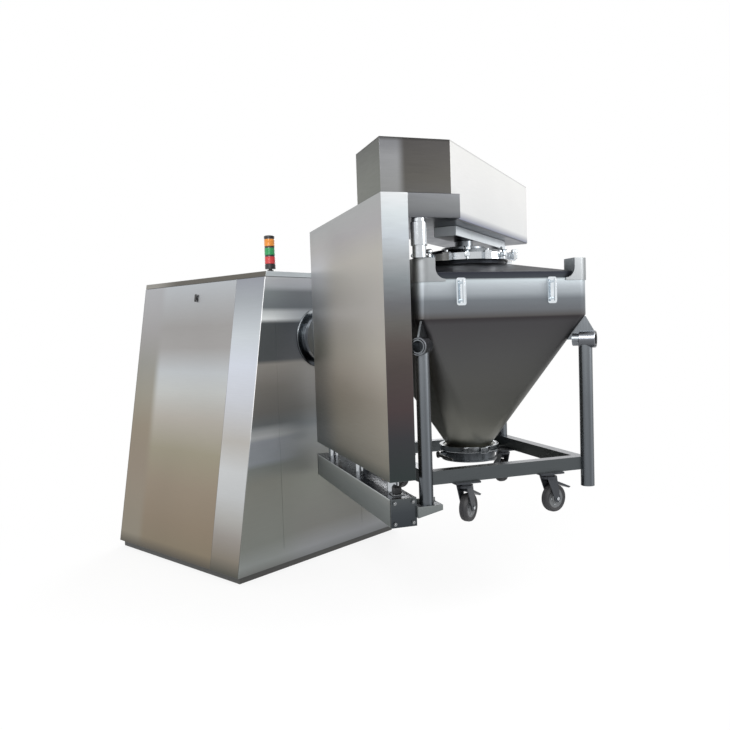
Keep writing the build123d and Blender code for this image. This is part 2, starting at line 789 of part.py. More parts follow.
# Top arm, hood, corner clamps and the press beam over the lid
hood_corner = (wall_front, wall_outer)


def arm_plan(grow, mode=Mode.ADD):
    """Plan of the hood: a square corner over the wall and two sides along the diagonal."""
    spread = grow * sqrt(2)
    corner_x, corner_y = hood_corner
    nose = (hood_nose + grow) * sqrt(2)
    left_sum = corner_x - hood_leg - spread + corner_y
    right_sum = corner_x + corner_y + hood_leg + spread
    return Polygon(
        (corner_x, corner_y),
        (corner_x, right_sum - corner_x),
        ((right_sum - nose) / 2, (right_sum + nose) / 2),
        ((left_sum - nose) / 2, (left_sum + nose) / 2),
        (left_sum - corner_y, corner_y),
        align=None,
        mode=mode,
    )


arm_sheet = 6
wall_side_cut = 2 * wall_length
arm_inset = sheet + seat
arm_corner_y = wall_inner + arm_corner
with BuildPart() as top_arm:
    with BuildSketch(level(arm_bottom)) as arm_outline:
        arm_plan(-arm_inset)
        with Locations((wall_front - arm_corner / 2, arm_corner_y - arm_corner / 2)):
            Rectangle(arm_corner, arm_corner)
        with Locations((0, wall_inner + seat - wall_side_cut / 2)):
            Rectangle(wall_side_cut, wall_side_cut, mode=Mode.SUBTRACT)
    extrude(amount=arm_top - arm_bottom)
    with BuildSketch(level(arm_bottom + arm_sheet)):
        add(arm_outline.sketch_local)
        offset(amount=-arm_sheet)
    extrude(amount=arm_top - arm_bottom - 2 * arm_sheet, mode=Mode.SUBTRACT)
top_arm.part.label = "top_arm"
export_step(top_arm.part, "parts/top_arm.step")

hood_bottom = max(arm_top, wall_half_height) + seat
with BuildPart() as top_hood:
    with BuildSketch(level(hood_bottom)):
        arm_plan(0)
    extrude(amount=hood_height)
    with BuildSketch(level(hood_bottom)):
        arm_plan(0)
        offset(amount=-sheet)
    extrude(amount=hood_height - sheet, mode=Mode.SUBTRACT)
    with BuildSketch(level(hood_bottom - hood_skirt)):
        arm_plan(0)
        with Locations((wall_front, arm_corner_y + seat - arm_corner)):
            Rectangle(2 * arm_corner, 2 * arm_corner, mode=Mode.SUBTRACT)
        with Locations((0, wall_inner + seat - wall_side_cut / 2)):
            Rectangle(wall_side_cut, wall_side_cut, mode=Mode.SUBTRACT)
        arm_plan(-sheet, Mode.SUBTRACT)
    extrude(amount=hood_skirt)
top_hood.part.label = "top_hood"
export_step(top_hood.part, "parts/top_hood.step")

clamp_places = ((leg_place, -leg_place), (-leg_place, leg_place))
with BuildPart() as corner_clamps:
    for clamp_x, clamp_y in clamp_places:
        post(clamp_x, clamp_y, ear_top + seat, ear_top + clamp_foot_height, clamp_foot_radius,
             rotor_frame)
        post(clamp_x, clamp_y, ear_top + clamp_foot_height, arm_bottom - 20, clamp_radius,
             rotor_frame)
        post(clamp_x, clamp_y, arm_bottom - 20, arm_bottom, clamp_foot_radius, rotor_frame)
corner_clamps.part.label = "corner_clamps"
export_step(corner_clamps.part, "parts/corner_clamps.step")

press_wall = 8
press_bottom = arm_bottom - press_height
press_far = leg_place * sqrt(2) - clamp_radius - seat
press_plan = Plane(origin=at(0, 0, 0), x_dir=diagonal_x, z_dir=(0, 0, 1))
with BuildPart() as press_beam:
    block(-press_back, press_far, -press_width / 2, press_width / 2,
          press_bottom, arm_bottom, press_plan)
    block(press_wall - press_back, press_far - press_wall,
          press_wall - press_width / 2, press_width / 2 - press_wall,
          press_bottom + press_wall, arm_bottom - press_wall, press_plan, Mode.SUBTRACT)
press_beam.part.label = "press_beam"
export_step(press_beam.part, "parts/press_beam.step")

press_pad_bottom = lid_crown + seat
with BuildPart() as press_pad:
    post(0, 0, press_pad_bottom, press_pad_bottom + press_pad_height, press_pad_radius,
         rotor_frame)
    post(0, 0, press_pad_bottom + press_pad_height, press_bottom, press_column_radius,
         rotor_frame)
press_pad.part.label = "press_pad"
export_step(press_pad.part, "parts/press_pad.step")

# Bin shell: sloped top with its neck, straight band, hopper and outlet flange
outlet_width = 2 * (outlet_radius + bin_wall)
outlet_flange_radius = outlet_radius + 35
outlet_flange = 12
outlet_end = outlet_bottom - outlet_flange


def rounded_square(width, corner, mode=Mode.ADD):
    """Plan of the bin at one height."""
    return RectangleRounded(width, width, corner, mode=mode)


def bin_top(grow, mode=Mode.ADD):
    """Upright step and sloped top of the bin, made larger or smaller by a thickness."""
    step_width = bin_width - 2 * step_inset + 2 * grow
    slope_start = band_top + step_height + grow
    with BuildSketch(level(band_top + grow)) as step:
        rounded_square(step_width, bin_corner + grow)
    extrude(step.sketch, amount=step_height, mode=mode)
    with BuildSketch(level(slope_start)) as slope_low:
        rounded_square(step_width, bin_corner + grow)
    with BuildSketch(level(neck_bottom + grow)) as slope_high:
        rounded_square(2 * neck_radius + 6 + 2 * grow, neck_radius + 2 + grow)
    loft(sections=[slope_low.sketch.face(), slope_high.sketch.face()], mode=mode)


with BuildPart() as bin_shell:
    with BuildSketch(level(outlet_bottom)):
        rounded_square(outlet_width, outlet_width / 2 - 1)
    with BuildSketch(level(band_bottom)):
        rounded_square(bin_width, bin_corner)
    loft()
    with BuildSketch(level(band_bottom)):
        rounded_square(bin_width, bin_corner)
    extrude(amount=band_top - band_bottom)
    bin_top(0)
    post(0, 0, neck_bottom, neck_top, neck_radius, rotor_frame)
    post(0, 0, neck_top - 10, neck_top, neck_flange_radius, rotor_frame)
    post(0, 0, outlet_end, outlet_bottom, outlet_flange_radius, rotor_frame)
    with BuildSketch(level(outlet_bottom)):
        rounded_square(2 * outlet_radius, outlet_radius - 1)
    with BuildSketch(level(band_bottom)):
        rounded_square(bin_width - 2 * bin_wall, bin_corner - bin_wall)
    loft(mode=Mode.SUBTRACT)
    with BuildSketch(level(band_bottom)):
        rounded_square(bin_width - 2 * bin_wall, bin_corner - bin_wall)
    extrude(amount=band_top - band_bottom - bin_wall, mode=Mode.SUBTRACT)
    bin_top(-bin_wall, Mode.SUBTRACT)
    post(0, 0, neck_bottom - bin_wall, neck_top, neck_radius - bin_wall, rotor_frame, Mode.SUBTRACT)
    post(0, 0, outlet_end, outlet_bottom, outlet_radius, rotor_frame, Mode.SUBTRACT)
bin_shell.part.label = "bin_shell"
export_step(bin_shell.part, "parts/bin_shell.step")

# Corner ears: hollow posts on the corners of the band, with feet that run along its sides
clear_middle = bin_width / 2 + ear_thickness - ear_length
foot_end = clear_middle - ear_fillet
with BuildPart() as corner_ears:
    with BuildSketch(level(ear_bottom)):
        rounded_square(bin_width + 2 * (ear_thickness + seat), bin_corner + ear_thickness)
        rounded_square(bin_width + 2 * seat, bin_corner, Mode.SUBTRACT)
    extrude(amount=band_top + ear_fillet - ear_bottom)
    for gap_frame in (facing_out(-bin_width), facing_wall(bin_width)):
        with BuildSketch(gap_frame):
            with Locations((0, band_top)):
                Rectangle(2 * foot_end, 4 * ear_fillet)
            with Locations((0, band_top + 2 * ear_fillet)):
                Rectangle(2 * clear_middle, 2 * ear_fillet)
            with Locations((foot_end, band_top + ear_fillet), (-foot_end, band_top + ear_fillet)):
                Circle(ear_fillet)
        extrude(amount=2 * bin_width, mode=Mode.SUBTRACT)
    with BuildSketch(level(band_top + seat)) as ear_outline:
        rounded_square(bin_width + 2 * (ear_thickness + seat), bin_corner + ear_thickness)
        Rectangle(2 * clear_middle, 2 * bin_width, mode=Mode.SUBTRACT)
        Rectangle(2 * bin_width, 2 * clear_middle, mode=Mode.SUBTRACT)
    extrude(amount=ear_top - band_top - seat)
    with BuildSketch(level(band_top + seat)):
        add(ear_outline.sketch_local)
        offset(amount=-ear_thickness)
    extrude(amount=ear_top - band_top - seat - ear_plate, mode=Mode.SUBTRACT)
    bin_top(seat, Mode.SUBTRACT)
corner_ears.part.label = "corner_ears"
export_step(corner_ears.part, "parts/corner_ears.step")

# Grab handles on the four faces of the band
handle_width = 54
handle_height = 140
handle_depth = 42
handle_place = 265
handle_z = 225
handle_bar = 8
with BuildPart() as grab_handles:
    for turn in range(4):
        face = Plane(
            origin=at(0, 0, handle_z),
            x_dir=rotor_x.rotate(Axis.Z, 90 * turn + 90),
            z_dir=rotor_x.rotate(Axis.Z, 90 * turn),
        )
        if turn == 3:
            continue
        with BuildSketch(face.offset(bin_width / 2 + seat)):
            with GridLocations(2 * handle_place, 1, 2, 1):
                RectangleRounded(handle_width, handle_height, 12)
        extrude(amount=4)
        with BuildSketch(face.offset(bin_width / 2 + seat)):
            with GridLocations(2 * handle_place, handle_height - 50, 2, 2):
                Circle(handle_bar - 1.5)
        extrude(amount=handle_depth - handle_bar)
        for side in (-1, 1):
            grip = face.offset(bin_width / 2 + seat + handle_depth - handle_bar)
            start = grip.from_local_coords((side * handle_place, 12 - handle_height / 2, 0))
            with BuildSketch(Plane(origin=start, x_dir=face.x_dir, z_dir=(0, 0, 1))):
                Circle(handle_bar)
            extrude(amount=handle_height - 24)
grab_handles.part.label = "grab_handles"
export_step(grab_handles.part, "parts/grab_handles.step")

# Bin frame: leg pipes, base ring, corner pipes and gussets
frame_void = 7
ridge_top = (bin_width / 2 - bin_corner) * sqrt(2) + bin_corner
ridge_low = outlet_radius + bin_wall
ridge_slope = (ridge_top - ridge_low) / (band_bottom - outlet_bottom)


def ridge(z):
    """Distance of the hopper's corner edge from the middle, at height z."""
    return ridge_low + ridge_slope * (z - outlet_bottom)


leg_diagonal = leg_place * sqrt(2)
with BuildPart() as bin_frame:
    outer = 2 * bin_frame_place + bin_frame_width
    inner = 2 * bin_frame_place - bin_frame_width
    with BuildSketch(level(bin_frame_top - bin_frame_height)):
        Rectangle(outer, outer)
        Rectangle(inner, inner, mode=Mode.SUBTRACT)
    extrude(amount=bin_frame_height)
    with BuildSketch(level(leg_bottom)):
        with GridLocations(2 * leg_place, 2 * leg_place, 2, 2):
            Circle(leg_radius)
    extrude(amount=stub_height - leg_bottom)
    for corner in range(4):
        out = (rotor_x + rotor_y).normalized().rotate(Axis.Z, 90 * corner)
        pipe = Plane(origin=at(0, 0, stub_height), x_dir=out.cross(Vector(0, 0, 1)), z_dir=out)
        gusset = Plane(origin=at(0, 0, 0), x_dir=out, z_dir=out.cross(Vector(0, 0, 1)))
        stub_start = ridge(stub_height + stub_radius) + 6
        with BuildSketch(pipe.offset(stub_start)):
            Circle(stub_radius)
        extrude(amount=stub_end - stub_start)
        with BuildSketch(gusset.offset(-5)):
            gusset_top = band_bottom - 8
            Polygon(
                (ridge(gusset_top) + 1.5, gusset_top),
                (ridge_top, gusset_top),
                (stub_end, stub_height + stub_radius - 4),
                (stub_end, stub_height),
                (ridge(stub_height) + 1.5, stub_height),
                align=None,
            )
        extrude(amount=10)
        with BuildSketch(pipe.offset(stub_start + 20)):
            Circle(stub_radius - stub_wall)
        extrude(amount=stub_end - stub_start, mode=Mode.SUBTRACT)
    with BuildSketch(level(bin_frame_top - bin_frame_height + frame_void)):
        Rectangle(outer - 2 * frame_void, outer - 2 * frame_void)
        Rectangle(inner + 2 * frame_void, inner + 2 * frame_void, mode=Mode.SUBTRACT)
    extrude(amount=bin_frame_height - 2 * frame_void, mode=Mode.SUBTRACT)
    with BuildSketch(level(leg_bottom)):
        with GridLocations(2 * leg_place, 2 * leg_place, 2, 2):
            Circle(leg_radius - leg_wall)
    extrude(amount=stub_height - stub_radius - leg_bottom, mode=Mode.SUBTRACT)
bin_frame.part.label = "bin_frame"
export_step(bin_frame.part, "parts/bin_frame.step")

# Charging lid, gasket and clamp ring
lid_bottom = neck_top + gasket_thickness
with BuildPart() as lid_gasket:
    post(0, 0, neck_top, lid_bottom, neck_flange_radius - 6, rotor_frame)
    post(0, 0, neck_top, lid_bottom, neck_radius, rotor_frame, Mode.SUBTRACT)
lid_gasket.part.label = "lid_gasket"
export_step(lid_gasket.part, "parts/lid_gasket.step")

with BuildPart() as charging_lid:
    post(0, 0, lid_bottom, lid_bottom + lid_thickness, neck_flange_radius, rotor_frame)
    with BuildSketch(level(lid_bottom + lid_thickness)):
        Circle(neck_radius - 15)
    extrude(amount=lid_crown - lid_bottom - lid_thickness, taper=35)
charging_lid.part.label = "charging_lid"
export_step(charging_lid.part, "parts/charging_lid.step")

ring_low = neck_top - 16
ring_high = lid_bottom + lid_thickness + 6
with BuildPart() as lid_clamp_ring:
    post(0, 0, ring_low, ring_high, neck_flange_radius + 14, rotor_frame)
    post(0, 0, ring_low, ring_high, neck_flange_radius - 10, rotor_frame, Mode.SUBTRACT)
    post(0, 0, neck_top - 10 - seat, lid_bottom + lid_thickness + seat,
         neck_flange_radius + 0.5, rotor_frame, Mode.SUBTRACT)
    with BuildSketch(level(ring_low - 4)):
        with PolarLocations(neck_flange_radius + 26, 8):
            Rectangle(30, 40)
    extrude(amount=ring_high - ring_low + 8)
    with BuildSketch(level(ring_high + 4)):
        with PolarLocations(neck_flange_radius + 28, 8):
            Circle(9)
    extrude(amount=12)
lid_clamp_ring.part.label = "lid_clamp_ring"
export_step(lid_clamp_ring.part, "parts/lid_clamp_ring.step")

# Discharge valve: body, clamp ring, disc with stem, and lever
valve_top = outlet_end - seat
valve_bottom = valve_top - valve_height
valve_middle = (valve_top + valve_bottom) / 2
stem_half = outlet_flange_radius + 30
with BuildPart() as valve_body:
    post(0, 0, valve_bottom, valve_top, outlet_flange_radius - 8, rotor_frame)
    post(0, 0, valve_top - 8, valve_top, outlet_flange_radius, rotor_frame)
    post(0, 0, valve_bottom, valve_bottom + 8, outlet_flange_radius, rotor_frame)
    with BuildSketch(facing_wall(stem_half - 12)):
        with Locations((0, valve_middle)):
            Circle(stem_radius + 8)
    extrude(amount=2 * (stem_half - 12))
    post(0, 0, valve_bottom, valve_top, outlet_radius, rotor_frame, Mode.SUBTRACT)
    with BuildSketch(facing_wall(stem_half)):
        with Locations((0, valve_middle)):
            Circle(stem_radius + running_fit)
    extrude(amount=2 * stem_half, mode=Mode.SUBTRACT)
valve_body.part.label = "valve_body"
export_step(valve_body.part, "parts/valve_body.step")

with BuildPart() as outlet_clamp:
    clamp_high = outlet_bottom + 6
    clamp_low = valve_top - 8 - 6
    post(0, 0, clamp_low, clamp_high, outlet_flange_radius + 12, rotor_frame)
    post(0, 0, clamp_low, clamp_high, outlet_flange_radius - 7, rotor_frame, Mode.SUBTRACT)
    post(0, 0, valve_top - 8 - seat, outlet_bottom + seat, outlet_flange_radius + 0.5,
         rotor_frame, Mode.SUBTRACT)
    with BuildSketch(level(clamp_low)):
        with Locations((outlet_flange_radius + 24, 0), (-outlet_flange_radius - 24, 0)):
            Rectangle(30, 44)
    extrude(amount=clamp_high - clamp_low)
outlet_clamp.part.label = "outlet_clamp"
export_step(outlet_clamp.part, "parts/outlet_clamp.step")

with BuildPart() as valve_disc:
    post(0, 0, valve_middle - disc_thickness / 2, valve_middle + disc_thickness / 2,
         outlet_radius - valve_clearance, rotor_frame)
    with BuildSketch(facing_wall(stem_half - 10)):
        with Locations((0, valve_middle)):
            Circle(stem_radius)
    extrude(amount=2 * stem_half)
valve_disc.part.label = "valve_disc"
export_step(valve_disc.part, "parts/valve_disc.step")

lever_length = 190
lever_y = -stem_half - 12
with BuildPart() as valve_lever:
    with BuildSketch(facing_wall(lever_y + 8)):
        with Locations((0, valve_middle)):
            Circle(20)
        with Locations((lever_length / 2, valve_middle)):
            Rectangle(lever_length, 18)
        with Locations((lever_length, valve_middle)):
            Circle(9)
        with Locations((0, valve_middle)):
            Circle(stem_radius, mode=Mode.SUBTRACT)
    extrude(amount=10)
valve_lever.part.label = "valve_lever"
export_step(valve_lever.part, "parts/valve_lever.step")

# Casters: plates on the frame, and for each a fork, a wheel and a brake pedal
plate_top = bin_frame_top - bin_frame_height
plate_bottom = plate_top - caster_plate
wheel_z = wheel_bottom + wheel_radius
fork_top = plate_bottom - 14
caster_names = ("front_left", "front_right", "rear_left", "rear_right")
caster_places = (
    (caster_x, -caster_y),
    (caster_x, caster_y),
    (-caster_x, -caster_y),
    (side_caster_x, side_caster_y),
)
caster_turns = (128, 104, 200, 180)  # which way each caster trails, seen from above
with BuildPart() as caster_plates:
    with BuildSketch(level(plate_bottom)):
        with Locations(caster_places[0], caster_places[1], caster_places[2]):
            RectangleRounded(105, 145, 8)
        with Locations(caster_places[3]):
            RectangleRounded(145, 105, 8)
    extrude(amount=caster_plate)
    with BuildSketch(level(plate_bottom - 13)):
        with Locations(caster_places):
            Circle(34)
            Circle(kingpin_radius + running_fit, mode=Mode.SUBTRACT)
    extrude(amount=13)
caster_plates.part.label = "caster_plates"
export_step(caster_plates.part, "parts/caster_plates.step")

fork_gap = wheel_width / 2 + 3
cheek = 5


def caster_frame(place, turn):
    """Frame of one caster: x towards the trailing wheel, at the height of the shaft axis."""
    return Plane(
        origin=at(place[0], place[1], 0), x_dir=rotor_x.rotate(Axis.Z, turn), z_dir=(0, 0, 1)
    )


def fork_side(frame, y):
    """An upright plane across one cheek of a fork, drawn in x and z."""
    return Plane(
        origin=frame.from_local_coords((0, y, 0)), x_dir=frame.x_dir, z_dir=-frame.y_dir
    )


for caster_name, place, turn in zip(caster_names, caster_places, caster_turns):
    frame = caster_frame(place, turn)
    with BuildPart() as fork:
        post(0, 0, fork_top - 12, fork_top, 42, frame)
        post(0, 0, fork_top, plate_bottom - 0.5, kingpin_radius, frame)
        for side in (-1, 1):
            outside = side * (fork_gap + cheek / 2) + cheek / 2
            with BuildSketch(fork_side(frame, outside)):
                Polygon(
                    (-34, fork_top),
                    (34, fork_top),
                    (wheel_trail + 20, wheel_z - 4),
                    (wheel_trail - 20, wheel_z - 4),
                    align=None,
                )
                with Locations((wheel_trail, wheel_z)):
                    Circle(20)
            extrude(amount=cheek)
        block(-34, 34, -fork_gap, fork_gap, fork_top - 12, fork_top - 4, frame)
        with BuildSketch(fork_side(frame, fork_gap + cheek)):
            with Locations((wheel_trail, wheel_z)):
                Circle(axle_radius)
        extrude(amount=2 * (fork_gap + cheek))
    fork.part.label = caster_name + "_fork"
    export_step(fork.part, "parts/" + caster_name + "_fork.step")

    with BuildPart() as wheel:
        with BuildSketch(fork_side(frame, wheel_width / 2)):
            with Locations((wheel_trail, wheel_z)):
                Circle(wheel_radius)
        extrude(amount=wheel_width)
        fillet(wheel.edges().filter_by(GeomType.CIRCLE), 9)
        with BuildSketch(fork_side(frame, wheel_width / 2 + 2)):
            with Locations((wheel_trail, wheel_z)):
                Circle(24)
        extrude(amount=wheel_width + 4)
        with BuildSketch(fork_side(frame, wheel_width)):
            with Locations((wheel_trail, wheel_z)):
                Circle(axle_radius + running_fit)
        extrude(amount=2 * wheel_width, mode=Mode.SUBTRACT)
    wheel.part.label = caster_name + "_wheel"
    export_step(wheel.part, "parts/" + caster_name + "_wheel.step")

    pedal_x = wheel_trail - 6
    pedal_z = wheel_z + wheel_radius + 16
    with BuildPart() as pedal:
        with BuildSketch(fork_side(frame, fork_gap - 1)):
            with Locations((pedal_x, pedal_z)):
                Circle(9)
            Polygon(
                (pedal_x, pedal_z + 9),
                (pedal_x, pedal_z - 5),
                (wheel_trail + wheel_radius + 20, pedal_z - 46),
                (wheel_trail + wheel_radius + 34, pedal_z - 40),
                align=None,
            )
        extrude(amount=2 * (fork_gap - 1))
    pedal.part.label = caster_name + "_pedal"
    export_step(pedal.part, "parts/" + caster_name + "_pedal.step")
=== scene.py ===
import json
import math

import bmesh
import bpy
from mathutils import Matrix, Vector


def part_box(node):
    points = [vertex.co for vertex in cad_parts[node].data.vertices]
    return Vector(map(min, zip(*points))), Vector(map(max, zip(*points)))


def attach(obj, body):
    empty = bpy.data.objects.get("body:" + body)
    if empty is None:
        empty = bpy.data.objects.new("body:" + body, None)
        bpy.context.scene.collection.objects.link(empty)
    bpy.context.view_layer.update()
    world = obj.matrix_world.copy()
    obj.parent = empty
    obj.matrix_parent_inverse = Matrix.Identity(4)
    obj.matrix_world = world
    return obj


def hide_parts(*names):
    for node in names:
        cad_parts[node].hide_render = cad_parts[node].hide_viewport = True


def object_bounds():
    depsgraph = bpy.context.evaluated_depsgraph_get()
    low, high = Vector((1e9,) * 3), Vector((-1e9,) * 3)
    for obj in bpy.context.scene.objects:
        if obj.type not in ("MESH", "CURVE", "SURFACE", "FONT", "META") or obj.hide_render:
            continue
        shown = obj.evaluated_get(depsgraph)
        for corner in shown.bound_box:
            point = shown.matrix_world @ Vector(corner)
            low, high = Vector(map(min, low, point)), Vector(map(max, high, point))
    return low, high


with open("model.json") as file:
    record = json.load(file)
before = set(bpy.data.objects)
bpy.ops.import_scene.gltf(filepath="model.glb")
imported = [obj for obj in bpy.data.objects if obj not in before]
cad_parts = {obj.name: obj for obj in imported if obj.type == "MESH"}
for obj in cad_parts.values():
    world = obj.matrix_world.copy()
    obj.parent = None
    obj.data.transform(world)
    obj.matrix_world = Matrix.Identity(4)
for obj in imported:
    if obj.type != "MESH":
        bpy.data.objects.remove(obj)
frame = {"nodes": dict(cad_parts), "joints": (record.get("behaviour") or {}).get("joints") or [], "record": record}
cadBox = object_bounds()
nodes = frame["nodes"]
joints = {joint["name"]: joint for joint in frame["joints"]}
bodyOf = {
    node: body
    for body, members in frame["record"]["behaviour"]["bodies"].items()
    for node in members
}
corners = ("front_left", "front_right", "rear_left", "rear_right")
mergeDistance = 0.00001  # vertices nearer than this are one
flatAngle = math.radians(0.5)  # CAD triangles that meet flatter than this are one face
print("frame loaded:", len(nodes), "nodes")

# the rotor's own axes: along the bin's charging side, away from the wall, and up
binCentre = Vector(joints["valve_turn"]["pos_m"])
shaftHeight = joints["rotor_spin"]["pos_m"][2]
awayFromWall = Vector(joints["valve_turn"]["axis"]).normalized()
alongWall = awayFromWall.cross(Vector((0, 0, 1)))
rotorPlace = Matrix.Translation((binCentre.x, binCentre.y, shaftHeight)) @ Matrix(
    (alongWall, awayFromWall, (0, 0, 1))
).transposed().to_4x4()
rowPlace = Matrix.Identity(4)


def boxIn(place, node):
    # lowest and highest corner of a CAD node in another set of axes
    inverse = place.inverted()
    spots = [inverse @ v.co for v in nodes[node].data.vertices]
    low = Vector([min(s[i] for s in spots) for i in range(3)])
    high = Vector([max(s[i] for s in spots) for i in range(3)])
    return low, high


def tint(red, green, blue, gain=1.0):
    # a colour written as 0 to 255 on the screen, turned into Blender's linear values
    def linear(c):
        c = c / 255
        c = c / 12.92 if c <= 0.04045 else ((c + 0.055) / 1.055) ** 2.4
        return min(1.0, c * gain)

    return (linear(red), linear(green), linear(blue), 1)


# shared effects, each a node group that is built once

def newGroup(name, inputs, outputs):
    group = bpy.data.node_groups.new(name, "ShaderNodeTree")
    for label, kind, default in inputs:
        socket = group.interface.new_socket(name=label, in_out="INPUT", socket_type=kind)
        if default is not None:
            socket.default_value = default
    for label, kind in outputs:
        group.interface.new_socket(name=label, in_out="OUTPUT", socket_type=kind)
    return group, group.nodes.new("NodeGroupInput"), group.nodes.new("NodeGroupOutput")


def feed(tree, value, socket):
    # a socket gets either a link or a number of its own
    if isinstance(value, bpy.types.NodeSocket):
        tree.links.new(value, socket)
    else:
        socket.default_value = value


def mathNode(tree, operation, first, second):
    node = tree.nodes.new("ShaderNodeMath")
    node.operation = operation
    feed(tree, first, node.inputs[0])
    feed(tree, second, node.inputs[1])
    return node.outputs[0]


def vectorNode(tree, operation, first, second):
    node = tree.nodes.new("ShaderNodeVectorMath")
    node.operation = operation
    feed(tree, first, node.inputs[0])
    feed(tree, second, node.inputs[1])
    return node


def noiseNode(tree, vector, scale, detail=3.0):
    node = tree.nodes.new("ShaderNodeTexNoise")
    feed(tree, scale, node.inputs["Scale"])
    feed(tree, detail, node.inputs["Detail"])
    tree.links.new(vector, node.inputs["Vector"])
    return node.outputs["Fac"]


def rangeNode(tree, value, low, high, start=0.0, end=1.0, smooth=False):
    node = tree.nodes.new("ShaderNodeMapRange")
    if smooth:
        node.interpolation_type = "SMOOTHSTEP"
    feed(tree, value, node.inputs["Value"])
    feed(tree, low, node.inputs["From Min"])
    feed(tree, high, node.inputs["From Max"])
    feed(tree, start, node.inputs["To Min"])
    feed(tree, end, node.inputs["To Max"])
    return node.outputs["Result"]


def aroundOne(tree, noise, amount):
    # the middle part of a noise, spread evenly round 1
    return rangeNode(tree, noise, 0.3, 0.7, 1.0 - amount, 1.0 + amount)


def rampNode(tree, value, stops):
    ramp = tree.nodes.new("ShaderNodeValToRGB")
    points = ramp.color_ramp.elements
    points[0].position, points[0].color = stops[0]
    points[1].position, points[1].color = stops[-1]
    for position, colour in stops[1:-1]:
        points.new(position).color = colour
    tree.links.new(value, ramp.inputs["Fac"])
    return ramp.outputs["Color"]


def buildGrain():
    # brushed lines: noise squeezed to thin streaks by the Stretch vector
    group, source, sink = newGroup(
        "brushedGrain",
        [("Vector", "NodeSocketVector", None), ("Stretch", "NodeSocketVector", (1, 1, 1))],
        [("Value", "NodeSocketFloat")],
    )
    scaled = vectorNode(group, "MULTIPLY", source.outputs["Vector"], source.outputs["Stretch"])
    fine = noiseNode(group, scaled.outputs[0], 3.0, 2.0)
    group.links.new(fine, sink.inputs["Value"])
    return group


def buildCloud():
    # painted reflection: slow changes of tone, as on a sheet that mirrors a room
    group, source, sink = newGroup(
        "slowCloud",
        [("Vector", "NodeSocketVector", None), ("Size", "NodeSocketFloat", 1.5)],
        [("Value", "NodeSocketFloat")],
    )
    slow = noiseNode(group, source.outputs["Vector"], source.outputs["Size"], 1.0)
    group.links.new(slow, sink.inputs["Value"])
    return group


def buildWearAndHighlight():
    # a lighter line where an edge is rounded off: wear, and a painted edge highlight
    strength = 6.0
    group, source, sink = newGroup(
        "edgeWearAndHighlight",
        [("Width", "NodeSocketFloat", 0.004)],
        [("Mask", "NodeSocketFloat")],
    )
    soft = group.nodes.new("ShaderNodeBevel")
    soft.samples = 4
    group.links.new(source.outputs["Width"], soft.inputs["Radius"])
    flat = group.nodes.new("ShaderNodeNewGeometry")
    dot = vectorNode(group, "DOT_PRODUCT", soft.outputs["Normal"], flat.outputs["Normal"])
    turned = mathNode(group, "SUBTRACT", 1.0, dot.outputs["Value"])
    mask = mathNode(group, "MINIMUM", mathNode(group, "MULTIPLY", turned, strength), 1.0)
    group.links.new(mask, sink.inputs["Mask"])
    return group


def buildDust():
    # thin grey film that gathers on what faces up
    group, source, sink = newGroup(
        "restingDust",
        [("Vector", "NodeSocketVector", None)],
        [("Mask", "NodeSocketFloat")],
    )
    geometry = group.nodes.new("ShaderNodeNewGeometry")
    split = group.nodes.new("ShaderNodeSeparateXYZ")
    group.links.new(geometry.outputs["Normal"], split.inputs[0])
    upward = mathNode(group, "MAXIMUM", split.outputs["Z"], 0.0)
    patches = noiseNode(group, source.outputs["Vector"], 9.0, 3.0)
    group.links.new(mathNode(group, "MULTIPLY", upward, patches), sink.inputs["Mask"])
    return group


def buildAcross():
    # 0 to 1 along a level direction, with a soft border
    group, source, sink = newGroup(
        "acrossFade",
        [("Vector", "NodeSocketVector", None), ("Direction", "NodeSocketVector", (1, 0, 0)),
         ("Start", "NodeSocketFloat", 0.0), ("End", "NodeSocketFloat", 1.0)],
        [("Mask", "NodeSocketFloat")],
    )
    along = vectorNode(group, "DOT_PRODUCT", source.outputs["Vector"], source.outputs["Direction"])
    fade = rangeNode(group, along.outputs["Value"], source.outputs["Start"],
                     source.outputs["End"], smooth=True)
    group.links.new(fade, sink.inputs["Mask"])
    return group


def buildSheen():
    # painted highlight and shade: long dark and light lines down a pipe, by which way its side faces
    greys = [(0.0, 0.42), (0.5, 0.3), (0.66, 0.34), (0.78, 0.46), (0.85, 0.86), (0.9, 0.6),
             (0.96, 0.48), (1.0, 0.56)]
    group, source, sink = newGroup(
        "pipeSheen",
        [("Direction", "NodeSocketVector", (1, 0, 0))],
        [("Value", "NodeSocketFloat")],
    )
    coords = group.nodes.new("ShaderNodeTexCoord")
    facing = vectorNode(group, "DOT_PRODUCT", coords.outputs["Normal"],
                        source.outputs["Direction"]).outputs["Value"]
    shade = rampNode(group, rangeNode(group, facing, -1.0, 1.0),
                     [(position, (grey, grey, grey, 1)) for position, grey in greys])
    group.links.new(mathNode(group, "MULTIPLY", shade, 2.0), sink.inputs["Value"])
    return group


grainGroup = buildGrain()
cloudGroup = buildCloud()
wearAndHighlightGroup = buildWearAndHighlight()
dustGroup = buildDust()
acrossGroup = buildAcross()
sheenGroup = buildSheen()
print("shared effects built")


# materials

def startMaterial(name):
    material = bpy.data.materials.new(name)
    material.use_nodes = True
    tree = material.node_tree
    tree.nodes.clear()
    output = tree.nodes.new("ShaderNodeOutputMaterial")
    shader = tree.nodes.new("ShaderNodeBsdfPrincipled")
    tree.links.new(shader.outputs["BSDF"], output.inputs["Surface"])
    coords = tree.nodes.new("ShaderNodeTexCoord")
    return material, tree, shader, coords.outputs["Object"]


def placeGroup(tree, group, **values):
    node = tree.nodes.new("ShaderNodeGroup")
    node.node_tree = group
    for label, value in values.items():
        feed(tree, value, node.inputs[label])
    return node.outputs[0]


